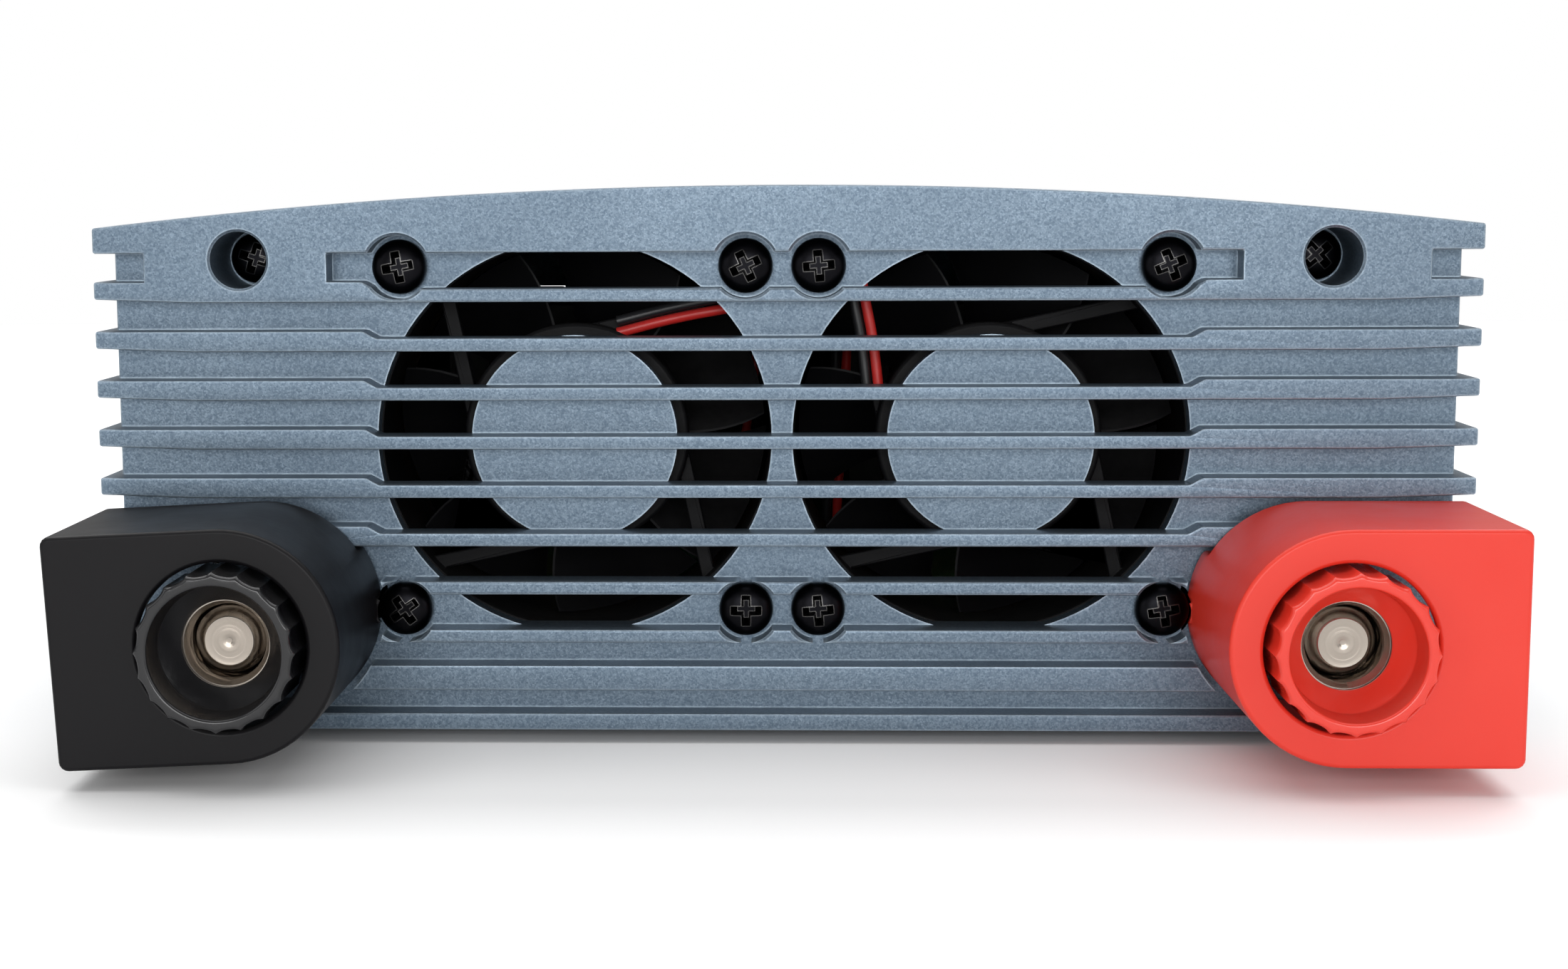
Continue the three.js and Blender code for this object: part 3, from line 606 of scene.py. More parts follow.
class Recipe:
    """One material: colour layers over a base, roughness that wanders, and heights."""

    def __init__(self, name, base, roughness, metallic=0.0, grain_mm=0.6, patch_mm=18.0):
        self.material = bpy.data.materials.new(name)
        self.material.use_nodes = True
        self.tree = self.material.node_tree
        self.shader = self.tree.nodes["Principled BSDF"]
        self.shader.inputs["Metallic"].default_value = metallic
        self.place = add(self.tree, "TexCoord").outputs["Object"]
        self.grain = self.effect(GRAIN, Size_mm=grain_mm, Patch_mm=patch_mm)
        self.colour = add(self.tree, "RGB").outputs[0]
        self.colour.default_value = colour(base)
        self.normal = None
        self.wander(roughness)

    def effect(self, group, **values):
        """Puts a shared effect into the material, with its own values."""
        return add(self.tree, "Group", {"node_tree": group}, Place=self.place, **values)

    def wander(self, roughness, span=0.08):
        """Roughness that drifts a little over the surface."""
        drift = add(self.tree, "MapRange", Value=self.grain.outputs["Patches"], From_Min=0.3,
                    From_Max=0.7, To_Min=roughness - span / 2, To_Max=roughness + span / 2)
        put(self.tree, self.shader.inputs["Roughness"], drift.outputs[0])

    def layer(self, mask, over, strength=1.0):
        """Lays a colour over what is there, where the mask is bright."""
        amount = calc(self.tree, "MULTIPLY", mask, strength, use_clamp=True)
        mix = add(self.tree, "Mix", {"data_type": "RGBA"}, Factor=amount)
        put(self.tree, mix.inputs[MIX_UNDER], self.colour)
        put(self.tree, mix.inputs[MIX_OVER], colour(over))
        self.colour = mix.outputs[MIX_RESULT]

    def height(self, value, distance_mm):
        """Raises the surface a little where the value is bright."""
        bump = add(self.tree, "Bump", Distance=distance_mm * MM, Height=value)
        if self.normal:
            put(self.tree, bump.inputs["Normal"], self.normal)
        self.normal = bump.outputs["Normal"]

    def done(self):
        """Joins the layers and the heights to the shader."""
        put(self.tree, self.shader.inputs["Base Color"], self.colour)
        put(self.tree, self.shader.inputs["Normal"], self.normal)
        return self.material


# %% [markdown]
# ### Paint
#
# The end panels and the case wear one blue-grey coat full of fine bright and dark flakes.
# It is partly metallic, so it takes a soft sheen from the lamps. The cast panels show a
# little texture under it, and the extruded case shows faint lines along its length.

# %% Paint
PAINT_BASE, LIGHT_FLAKE, DARK_FLAKE, CLOUD = "4f5f6d", "8b9ba8", "3d4957", "4f6174"
THIN_PAINT_AND_HIGHLIGHT, PAINT_DUST = "c6d6e2", "b9bdbf"
FLAKE_MM, DARK_FLAKE_MM = 0.24, 0.24 * 1.7


def paint(name, skin_mm):
    finish = Recipe(name, PAINT_BASE, 0.4, metallic=0.65, grain_mm=1.1, patch_mm=30.0)
    flakes = finish.effect(SPECKLE, Flake_mm=FLAKE_MM, Density=0.62)
    finish.layer(flakes.outputs["Mask"], LIGHT_FLAKE, 0.85)
    dark = finish.effect(SPECKLE, Flake_mm=DARK_FLAKE_MM, Density=0.5)
    finish.layer(dark.outputs["Height"], DARK_FLAKE, 0.55)
    finish.layer(finish.grain.outputs["Patches"], CLOUD, 0.35)
    # Corners take a lighter paint: partly thin paint, partly a painted highlight for the bright edge
    # lines.
    wear_and_highlight = finish.effect(EDGE_WEAR_AND_HIGHLIGHT, Radius_mm=0.5, Break_up=0.3)
    finish.layer(wear_and_highlight.outputs["Mask"], THIN_PAINT_AND_HIGHLIGHT, 0.6)
    finish.layer(finish.effect(DUST, Amount=0.12).outputs["Mask"], PAINT_DUST)
    finish.height(finish.grain.outputs["Height"], skin_mm)
    finish.height(flakes.outputs["Height"], 0.02)
    return finish


CAST_PAINT = paint("cast_paint", 0.03).done()
case_coat = paint("case_paint", 0.015)
case_coat.height(case_coat.effect(DIE_LINES, Line_mm=0.6).outputs["Lines"], 0.02)
CASE_PAINT = case_coat.done()
print("paints:", CAST_PAINT.name, "and", CASE_PAINT.name)

# %% [markdown]
# ### Moulded plastics
#
# The covers and knobs are polished mouldings, so they are glossy with soft flow marks. The
# fans are dull glass-filled plastic, and the sockets are satin. The same recipe serves them
# all, with the gloss, the grain and the lighter edges, partly rubbed and partly a painted
# highlight, as its values.

# %% Plastics
FLOW, RUBBED_AND_HIGHLIGHT, HANDLING_DUST = 0.22, 0.25, "a8a6a4"


def plastic(name, base, lighter, roughness, grain_height=0.012, grain_mm=0.8, shine=0.5):
    finish = Recipe(name, base, roughness, grain_mm=grain_mm, patch_mm=12.0)
    finish.shader.inputs["Specular IOR Level"].default_value = shine
    finish.layer(finish.grain.outputs["Patches"], lighter, FLOW)
    # Corners are lighter, partly from rubbing and partly as a painted highlight.
    wear_and_highlight = finish.effect(EDGE_WEAR_AND_HIGHLIGHT, Radius_mm=0.35, Break_up=0.6)
    finish.layer(wear_and_highlight.outputs["Mask"], lighter, RUBBED_AND_HIGHLIGHT)
    finish.layer(finish.effect(DUST, Amount=0.06).outputs["Mask"], HANDLING_DUST)
    finish.height(finish.grain.outputs["Height"], grain_height)
    return finish.done()


RED_PLASTIC = plastic("red_plastic", "cf2e20", "dd4a37", 0.36, shine=0.35)
RED_KNOB = plastic("red_knob", "cf2e20", "dd4a37", 0.2, 0.03, 1.6)
BLACK_PLASTIC = plastic("black_plastic", "0a090b", "151418", 0.42, shine=0.16)
BLACK_KNOB = plastic("black_knob", "0b0b0d", "242428", 0.2, 0.03, 1.6)
FAN_PLASTIC = plastic("fan_plastic", "08080a", "121214", 0.55, 0.02, 0.4, shine=0.15)
SOCKET_PLASTIC = plastic("socket_plastic", "19191b", "343438", 0.42, 0.02, 0.5)
RUBBER = plastic("rubber_foot", "17171a", "2c2c2e", 0.82, 0.05, 0.35)
RED_SLEEVE = plastic("red_sleeve", "b81f1c", "d8423a", 0.4, 0.01, 1.0)
BLACK_SLEEVE = plastic("black_sleeve", "151517", "2f2f33", 0.4, 0.01, 1.0)
WHITE_MARK = plastic("white_mark", "d8d8d6", "efefec", 0.5)
print("plastics, from", RED_PLASTIC.name, "to", WHITE_MARK.name)

# %% [markdown]
# ### Bare and plated metal
#
# Nickel on the studs is warm and bright, with the rings of the lathe under it. Zinc sheet is
# dull with a faint bloom. The screws are oxide black over steel, rubbed to grey where the
# driver has been. Every metal is lighter on its corners, partly from wear and partly as a
# painted highlight. Copper strip and drawn aluminium are inside, seen through the fans.

# %% Metals
TARNISH, BARE_METAL_AND_HIGHLIGHT = 0.5, "e6e4e0"


def metal(name, base, tint, roughness, rub_and_highlight=0.5, rings_at=None, feed_mm=0.3, lines=False):
    finish = Recipe(name, base, roughness, metallic=1.0, grain_mm=0.5, patch_mm=8.0)
    finish.layer(finish.grain.outputs["Patches"], tint, TARNISH)
    # Corners go towards bare metal, partly as wear and partly as a painted highlight.
    wear_and_highlight = finish.effect(EDGE_WEAR_AND_HIGHLIGHT, Radius_mm=0.25, Break_up=0.5)
    finish.layer(wear_and_highlight.outputs["Mask"], BARE_METAL_AND_HIGHLIGHT, rub_and_highlight)
    finish.height(finish.grain.outputs["Height"], 0.006)
    if rings_at:
        rings = finish.effect(TURNING, Axis_at=rings_at, Feed_mm=feed_mm)
        finish.layer(rings.outputs["Rings"], tint, TARNISH)
        finish.height(rings.outputs["Rings"], 0.02)
    if lines:
        drawn = finish.effect(DIE_LINES, Line_mm=0.4)
        finish.height(drawn.outputs["Lines"], 0.015)
    return finish.done()


def stud_axis(pole):
    """Where a terminal's axis passes, in the row's metres, for its turning marks."""
    return tuple(DC @ centre_of(f"stud_{pole}"))


NICKEL = {pole: metal(f"nickel_{pole}", "aaa298", "857c73", 0.24, 0.3, stud_axis(pole), 0.35)
          for pole in POLES}
ZINC_SHEET = metal("zinc_sheet", "aeb2b5", "8d9396", 0.42, 0.3, lines=True)
BLACK_SCREW = metal("black_screw", "111113", "1c1c20", 0.34, 0.25)
CLEAR_STEEL = metal("clear_steel", "b9bbbd", "97999b", 0.3, 0.3)
HEAT_SINK = metal("heat_sink", "b4b7ba", "93979b", 0.38, 0.2, lines=True)
COPPER = metal("copper_bar", "bd7548", "94522e", 0.3, 0.3, lines=True)
print("stud axes for the lathe marks, m:", {pole: stud_axis(pole) for pole in POLES})

# %% [markdown]
# ### The inside
#
# A little of the board can be seen past the fan blades, and all of it when the covers are
# off. Solder mask is glossy green over copper tracks, which show as faint raised lines. The
# ferrite is dull and grainy, the winding tape amber and slightly glossy.

# %% Board, ferrite, tape, lens
TRACKS = {"Scale": 160.0, "Mortar_Size": 0.11, "Color1": (0, 0, 0, 1),
          "Color2": (0.25, 0.25, 0.25, 1), "Mortar": (1, 1, 1, 1)}


def board_finish():
    finish = Recipe("board", "1b5a34", 0.35, grain_mm=0.4, patch_mm=20.0)
    tracks = add(finish.tree, "TexBrick", {"offset": 0.37, "squash": 1.4}, Vector=finish.place,
                 **TRACKS).outputs["Color"]
    finish.layer(tracks, "3c8a55", 0.7)
    finish.height(tracks, 0.05)
    finish.layer(finish.effect(DUST, Amount=0.15).outputs["Mask"], "8a8a80")
    return finish.done()


BOARD = board_finish()
FERRITE = plastic("ferrite", "2b2b2e", "45454a", 0.68, 0.05, 0.4)
TAPE = plastic("winding_tape", "cf9238", "e6b566", 0.35, 0.02, 2.0)
CAPACITOR_SLEEVE = plastic("capacitor_sleeve", "1d2530", "343f4e", 0.25, 0.008, 1.5)


def lens_finish():
    """A tinted lens: a plain transmission, with the colour from the grain."""
    finish = Recipe("light_lens", "4fbf5a", 0.12, grain_mm=0.9, patch_mm=3.0)
    finish.layer(finish.grain.outputs["Patches"], "7fe08a", 0.5)
    finish.height(finish.grain.outputs["Height"], 0.01)
    finish.shader.inputs["Transmission Weight"].default_value = 0.5
    return finish.done()


LIGHT_LENS = lens_finish()
print("finishes:", len(bpy.data.materials))

# %% [markdown]
# ## Fitting
#
# A finished piece takes its material and its body, and stands in for one or more CAD
# nodes. Flat pieces that need nothing new keep their CAD shape and only get a finish and
# rounded edges.

# %% Fitting a piece
def fit(piece, finish, slot, body="root", nodes=()):
    """Gives a piece its finish and its body, and hides the CAD nodes that it stands for."""
    piece.data.materials.clear()
    piece.data.materials.append(finish)
    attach(piece, body)
    if nodes:
        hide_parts(*nodes)
    return piece


def dress(node, finish, width=0.3):
    """A CAD node that keeps its shape: a finish and rounded edges."""
    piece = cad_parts[node]
    piece.material_slots[0].material = finish
    return soft_edges(piece, width)


# %% [markdown]
# ## The cast end panels
#
# Each end is one aluminium casting: a plate with a skirt behind it, nine fins in front, a
# crown band above and a lip below. It could be modelled as one drawn profile, but the fins
# cross the air openings, so it is built as the pattern maker does: plate first, openings cut
# from it, fins laid across, screw holes drilled last. Each part's edges are rounded before it
# is joined on.

# %% Panel dimensions
TIP_X = (dc_high.x - dc_low.x) / MM / 2
CROWN_Z = (dc_high.z - dc_low.z) / MM
SKIRT = (dc_high.y - dc_low.y) / MM - FIN_DEPTH
WALL_X = TIP_X - 2
CROWN_DROP = 5.8
CROWN_R = (TIP_X ** 2 + CROWN_DROP ** 2) / (2 * CROWN_DROP)
PLATE = 3.0
FIN_FIRST, FIN_PITCH, FIN_COUNT = 5.9, 7.075, 9
FIN_THIN, FIN_THICK, FIN_LOWEST = 1.95, 3.0, 3.7
STEP_X, STEP_RUN = 58.3, 1.9
TAPER_X, TAPER = 85.0, 0.5
LIP = 2.5
BAND_Z = FIN_FIRST + FIN_COUNT * FIN_PITCH
TOP_FIN = FIN_FIRST + (FIN_COUNT - 1) * FIN_PITCH
BLOCK_X = (65.2, 91.7)
OPENING_R, DISC_R = 28.75, 15.0
BOSS_R = 6.0
DEEP_HOLE_R, DEEP_HOLE_END = 4.1, 9.0
SCREW_HOLE_R, SCREW_CLEAR_R = 2.15, 4.6
print("panel, mm:", round(2 * TIP_X, 1), "by", round(CROWN_Z, 1), "skirt", round(SKIRT, 1))


# %% Outlines of the casting
def circle(x, z, r, sides=48):
    turn = 2 * math.pi / sides
    return [(x + r * math.cos(k * turn), z + r * math.sin(k * turn)) for k in range(sides)]


def crown_arc(half_width, top, steps=40):
    """Points along the crown, from its right end to its left."""
    lean = math.asin(half_width / CROWN_R)
    middle = top - CROWN_R
    angles = [lean - 2 * lean * k / steps for k in range(steps + 1)]
    return [(CROWN_R * math.sin(a), middle + CROWN_R * math.cos(a)) for a in angles]


def under_crown(half_width, top, bottom):
    return [(-half_width, bottom), (half_width, bottom)] + crown_arc(half_width, top)


def mirrored(right):
    """A right-hand run of points, closed by its mirror image."""
    return list(right) + [(-p[0], *p[1:]) for p in reversed(right)]


def fin_outline(bottom, thin):
    thick = max(thin, FIN_THICK)
    soft = 1.2 if thick > thin else 0
    return rounded(mirrored([
        (TAPER_X, bottom), (TIP_X, bottom + TAPER), (TIP_X, bottom + thick),
        (STEP_X + STEP_RUN, bottom + thick, soft), (STEP_X, bottom + thin, soft),
    ]))


def rod(name, x, z, r, start, end, place=DC, sides=48):
    return prism(name, circle(x, z, r, sides), start, end, place)


def across(side, a, b):
    """Limits in x on one side, in rising order."""
    return tuple(sorted((side * a, side * b)))


# %% [markdown]
# ### What both ends share
#
# Every part of the casting gets its rounded edges before it is joined on, because a bevel
# run over the finished casting would trip where fins, ribs and holes meet. For the same
# reason the drills carry their own countersinks.

# %% The shared casting
EDGE = 0.32
CHAMFER = 0.35
HAIR = 0.03  # keeps two joined parts from sharing one face
LEG_END = TOP_FIN + 1.1


def soft_prism(name, outline, start, end, place=DC, width=EDGE):
    """A prism whose edges are rounded before it is joined, so that every bevel is clean."""
    return settle(bevelled(prism(name, outline, start, end, place), width))


def crown_front():
    """The crown band's front with a leg down to the top fin at each corner."""
    near, far = BLOCK_X
    right = [(near, BAND_Z), (near, LEG_END), (far, LEG_END), (far, BAND_Z), (TIP_X, BAND_Z)]
    left = [(-x, z) for x, z in reversed(right)]
    return right + crown_arc(TIP_X, CROWN_Z) + left


def flared_rod(name, x, z, r, start, end, front, place, sides=48):
    """A drill with a countersink: its front end takes a small chamfer off the hole."""
    reach = front + CHAMFER - start
    profile = [(0, start), (r + reach, start), (r, front + CHAMFER), (r, end), (0, end)]
    return turned(name, profile, (x, z), sides, place=place)


def casting_parts(place, hollow_outline):
    """The fins, side ribs, crown and lip that are laid on the plate."""
    parts = [soft_prism("crown", crown_front(), -FIN_DEPTH, 1, place)]
    for k in range(FIN_COUNT):
        bottom = FIN_FIRST + k * FIN_PITCH
        thin = FIN_LOWEST if k == 0 else FIN_THIN
        parts.append(soft_prism("fin", fin_outline(bottom, thin), -FIN_DEPTH, 1, place))
        for side in (-1, 1):
            near, far = across(side, WALL_X - 1, TIP_X)
            low, high = bottom + TAPER, bottom + FIN_THICK
            rib = [(near, low), (far, low), (far, high), (near, high)]
            parts.append(soft_prism("rib", rib, 0, SKIRT, place))
    band_outline = under_crown(TIP_X - HAIR, CROWN_Z - HAIR, BAND_Z + HAIR)
    band = soft_prism("band", band_outline, 0, SKIRT, place)
    parts.append(cut(band, [prism("hollow", hollow_outline, PLATE, SKIRT + 1, place)]))
    lip = [(-TIP_X, 0), (TIP_X, 0), (TIP_X, LIP), (-TIP_X, LIP)]
    parts.append(soft_prism("lip", lip, -FIN_DEPTH, SKIRT, place))
    for side in (-1, 1):
        for x, z in (TOP_SCREW, LOW_SCREW):
            parts.append(rod("boss", side * x, z, BOSS_R - 0.5, 1, SKIRT, place))
    return parts


def end_casting(name, place, openings=()):
    """Plate and skirt with their parts on, and the drills for the panel screws."""
    body = soft_prism(name, under_crown(WALL_X, CROWN_Z - 0.05, 0.05), 0, SKIRT, place)
    hollow_outline = under_crown(WALL_X - PLATE, CROWN_Z - PLATE, PLATE)
    cut(body, [prism("hollow", hollow_outline, PLATE, SKIRT + 1, place), *openings])
    join(body, casting_parts(place, hollow_outline))
    holes = []
    for side in (-1, 1):
        x, z = TOP_SCREW
        front = -FIN_DEPTH
        holes.append(flared_rod("deep", side * x, z, DEEP_HOLE_R, front - 1, DEEP_HOLE_END, front, place))
        holes.append(rod("hole", side * x, z, SCREW_HOLE_R, 0, SKIRT + 1, place, 24))
        x, z = LOW_SCREW
        holes.append(flared_rod("clear", side * x, z, SCREW_CLEAR_R, front - 1, 0, front, place))
        holes.append(rod("hole", side * x, z, SCREW_HOLE_R, -1, SKIRT + 1, place, 24))
    return body, holes


def casting_finish(panel):
    """Shading that keeps the flats flat and rolls only over the rounded edges."""
    shell = bmesh.new()
    shell.from_mesh(panel.data)
    bmesh.ops.remove_doubles(shell, verts=shell.verts, dist=2e-6)
    bmesh.ops.triangulate(shell, faces=shell.faces, quad_method="BEAUTY", ngon_method="BEAUTY")
    shell.to_mesh(panel.data)
    shell.free()
    smooth(panel, 36)
    shading = panel.modifiers.new("shading", "WEIGHTED_NORMAL")
    shading.keep_sharp = True
    return panel


def axis_of(node, place=DC):
    """Where a node's own axis meets a panel, as (x, z)."""
    middle = centre_of(node, place)
    return middle.x, middle.z


TOP_SCREW = axis_of("dc_panel_screw_top_right")
LOW_SCREW = axis_of("dc_panel_screw_low_right")
print("panel screws, mm across and up:", TOP_SCREW, LOW_SCREW)

# %% [markdown]
# ### The DC panel
#
# Its own cuts are the two ring-shaped air openings, the clearances round the eight fan
# screws, which scallop the fins beside them, and a pocket at each lower corner where the
# terminal cover reaches the plate.

# %% The DC panel
FAN_MIDDLE = {hand: centre_of(f"fan_frame_{hand}") for hand in SIDES}
STUD_AT = {pole: axis_of(f"stud_{pole}") for pole in POLES}
COVER_R, COVER_SIDE, COVER_WALL = 16.0, 23.3, 2.0
POCKET_GROW, POCKET_TOP = 1.0, 26.9
INSULATOR_R, SLEEVE_HOLE_R, SEAT_GAP = 10.6, 9.0, 0.3


def cover_outline(side, grow=0.0, outer=None, bottom=None, corner=0.0):
    """A terminal cover's outline about its stud: round inwards, square outwards."""
    r = COVER_R + grow
    outer = COVER_SIDE + grow if outer is None else outer
    bottom = -r if bottom is None else bottom
    steps = 32
    points = [(0, bottom), (side * outer, bottom, corner), (side * outer, r, corner), (0, r)]
    for k in range(1, steps):
        angle = math.pi * k / steps
        points.append((-side * r * math.sin(angle), r * math.cos(angle)))
    return rounded(points)


def air_opening(middle):
    """The ring of air round a hub disc, as two tools: the ring is limited by the fins."""
    low = FIN_FIRST + FIN_PITCH + FIN_THIN
    ring = rod("ring", middle.x, middle.z, OPENING_R, -1, PLATE + 1, sides=96)
    disc = rod("disc", middle.x, middle.z, DISC_R, -2, PLATE + 2, sides=72)
    below = block("below", (-TIP_X, TIP_X), (-2, PLATE + 2), (0, low))
    above = block("above", (-TIP_X, TIP_X), (-2, PLATE + 2), (BAND_Z, CROWN_Z))
    return cut(ring, [disc, below, above])


def dc_panel():
    openings = [air_opening(middle) for middle in FAN_MIDDLE.values()]
    panel, holes = end_casting("dc_panel_casting", DC, openings)
    for hand in SIDES:
        for k in range(1, 5):
            x, z = axis_of(f"fan_screw_{hand}_{k}")
            holes.append(flared_rod("clear", x, z, SCREW_CLEAR_R, -FIN_DEPTH - 1, 0, -FIN_DEPTH, DC))
            holes.append(rod("hole", x, z, SCREW_HOLE_R, -1, PLATE + 1, sides=24))
    for pole, side in POLES.items():
        x, z = STUD_AT[pole]
        shape = cover_outline(side, POCKET_GROW, TIP_X - abs(x) + 2, -z - 2)
        pocket = prism("pocket", [(x + a, z + b) for a, b in shape], -FIN_DEPTH - 1, 0)
        holes.append(cut(pocket, [block("roof", (-120, 120), (-9, 3), (POCKET_TOP, CROWN_Z))]))
        holes.append(rod("sleeve", x, z, SLEEVE_HOLE_R, -1, PLATE + 1))
        holes.append(rod("seat", x, z, INSULATOR_R + SEAT_GAP, -FIN_DEPTH - 1, 0))
    return casting_finish(cut(panel, holes))


fit(dc_panel(), CAST_PAINT, "cast_paint", nodes=["dc_end_panel"])

# %% [markdown]
# ### The AC panel
#
# The same casting, turned round. Its fins are milled away in the middle to leave a flat
# field for the sockets, the switch, the light, the earth screw and the remote port.

# %% The AC panel
FIELD_X, FIELD_Z = 88.0, (10.2, 69.0)
SOCKET_HOLE_R = 22.1
SQUARE_HOLES = {"switch_bezel": (10.7, 15.5), "remote_port": (7.8, 6.8)}
ROUND_HOLES = {"status_light": 2.8, "earth_screw": 3.0}


def ac_panel():
    panel, holes = end_casting("ac_panel_casting", AC)
    field = block("field", (-FIELD_X, FIELD_X), (-FIN_DEPTH - 1, 0), FIELD_Z, AC)
    corners = [block("corner", across(side, BLOCK_X[0], BLOCK_X[1] + 1), (-FIN_DEPTH - 2, 1),
                     (TOP_FIN, BAND_Z + 1), AC) for side in (-1, 1)]
    holes.append(cut(field, corners))
    for hand in SIDES:
        at = axis_of(f"ac_socket_{hand}", AC_OUT)
        holes.append(rod("socket", *at, SOCKET_HOLE_R, -PLATE - 1, 1, AC_OUT, 72))
    for node, (half_x, half_z) in SQUARE_HOLES.items():
        x, z = axis_of(node, AC_OUT)
        holes.append(block(node, (x - half_x, x + half_x), (-PLATE - 1, 1),
                           (z - half_z, z + half_z), AC_OUT))
    for node, radius in ROUND_HOLES.items():
        at = axis_of(node, AC_OUT)
        holes.append(rod(node, *at, radius, -PLATE - 1, 1, AC_OUT, 32))
    return casting_finish(cut(panel, holes))


fit(ac_panel(), CAST_PAINT, "cast_paint", nodes=["ac_end_panel"])

# %% [markdown]
# ## Case, base plate and feet
#
# The case is an extrusion, so its section is drawn once, with the side ribs, the crown and
# the inner grooves for the base plate and the board, and drawn out between the two ends.

# %% The case
case_low, case_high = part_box("case_shell")
CASE_TIP = case_high.x / MM
CASE_WALL_X, CASE_INNER_X, LEDGE_X = 96.4, 93.4, 89.6
CASE_TOP = (case_high.z - dc_low.z) / MM
CASE_Y = [(edge.y - dc_low.y) / MM - FIN_DEPTH for edge in (case_low, case_high)]
CASE_ROOF, PORT_R, PORT_BORE_R = 2.5, 3.6, 2.0
LEDGES = [(0, 1.0), (3.6, 5.0), (13.2, 14.7), (16.9, 18.4)]


def case_section():
    right = [(CASE_TIP, 0), (CASE_TIP, LIP - TAPER), (CASE_WALL_X, LIP - TAPER)]
    for k in range(FIN_COUNT):
        low = FIN_FIRST + k * FIN_PITCH + TAPER
        high = low + FIN_THICK - TAPER
        right += [(CASE_WALL_X, low), (CASE_TIP, low), (CASE_TIP, high), (CASE_WALL_X, high)]
    right += [(CASE_WALL_X, BAND_Z + TAPER), (CASE_TIP, BAND_Z + TAPER)]
    outer = right + crown_arc(CASE_TIP, CASE_TOP) + [(-x, z) for x, z in reversed(right)]
    wall = [(LEDGE_X, 0)]
    for low, high in LEDGES:
        wall += [(LEDGE_X, low), (LEDGE_X, high), (CASE_INNER_X, high)]
        after = [ledge[0] for ledge in LEDGES if ledge[0] > high]
        wall += [(CASE_INNER_X, after[0])] if after else []
    wall = list(dict.fromkeys(wall))
    roof = crown_arc(CASE_INNER_X, CASE_TOP - CASE_ROOF)[::-1]
    return outer + [(-x, z) for x, z in wall] + roof + wall[::-1]


def case_shell():
    case = prism("case_extrusion", case_section(), *CASE_Y)
    screws = [(side * x, z) for side in (-1, 1) for x, z in (TOP_SCREW, LOW_SCREW)]
    join(case, [rod("port", *at, PORT_R, *CASE_Y, sides=32) for at in screws])
    bores = [rod("bore", *at, PORT_BORE_R, CASE_Y[0] - 1, CASE_Y[1] + 1, sides=24) for at in screws]
    return soft_edges(clean(cut(case, bores), 0.1), 0.25)


fit(case_shell(), CASE_PAINT, "case_paint", nodes=["case_shell"])
dress("base_plate", ZINC_SHEET, 0.4)
print("case, mm long:", round(CASE_Y[1] - CASE_Y[0], 1), "and wide:", round(2 * CASE_TIP, 1))


# %% [markdown]
# ### Feet
#
# Four rubber pads, turned about an upright axis and dished where their screw sits.

# %% The feet
def upright_at(low, high):
    """A box's size from its ends, and a place on its floor with the y axis turned upright."""
    middle = Vector(((low.x + high.x) / 2, (low.y + high.y) / 2, low.z))
    place = DC @ Matrix.Translation(middle) @ Matrix.Rotation(math.pi / 2, 4, "X")
    return (high.x - low.x) / 2, high.z - low.z, place


def foot(node):
    radius, tall, upright = upright_at(*corners_of(node))
    profile = rounded([
        (0, 1.2), (2.6, 1.2, 0.3), (2.9, 0, 0.3), (radius - 0.3, 0, 0.6), (radius, 1.2, 0.4),
        (radius - 0.4, tall, 0.2), (0, tall),
    ])
    return smooth(turned(node + "_pad", profile, sides=48, place=upright))


FEET = [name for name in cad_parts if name.startswith("foot_")]
for node in FEET:
    fit(foot(node), RUBBER, "rubber_foot", nodes=[node])
print("feet:", len(FEET))

# %% [markdown]
# ## Screws
#
# The fans and the panels are held by black pan-head screws with a cross recess. The head is
# a low dome turned on the lathe, the recess a tapered cross pressed into it, and the shank
# carries a coarse thread. Every screw stopped at its own angle, so the crosses are turned.

# %% Threads and crosses
def thread(nominal, pitch, depth, inward=False):
    """A swell for turned(): a helical V thread on the points at the nominal radius."""
    def swell(r, y, angle):
        if abs(r - nominal) > 0.01:
            return r
        phase = (y / pitch + angle / (2 * math.pi)) % 1.0
        height = depth * abs(2 * phase - 1)
        return r + height if inward else r - height
    return swell


def along(r, start, end, step=0.2):
    """Closely spaced profile points at one radius, for a thread."""
    count = max(2, round(abs(end - start) / step))
    return [(r, start + (end - start) * k / count) for k in range(count + 1)]


def cross_tool(reach, width, top, depth, angle, place):
    """A tapered cross, as a driver's tip, about the y axis."""
    arm, neck = reach / 2, width / 2
    corner = [(arm, -neck), (arm, neck), (neck, neck)]
    turn = math.radians(angle)
    verts = []
    for y, scale in ((top - 1, 1.15), (top + depth, 0.5)):
        for quarter in range(4):
            spin = turn + quarter * math.pi / 2
            for a, b in corner:
                x = (a * math.cos(spin) - b * math.sin(spin)) * scale
                z = (a * math.sin(spin) + b * math.cos(spin)) * scale
                verts.append((x, y, z))
    faces = [tuple(range(12)), tuple(range(23, 11, -1))]
    faces += [(k, (k + 1) % 12, 12 + (k + 1) % 12, 12 + k) for k in range(12)]
    return new_object("cross", verts, faces, place)


CROSS = {"reach": 5.2, "width": 1.45, "depth": 2.0}
COARSE_THREAD = {"pitch": 0.8, "depth": 0.28}


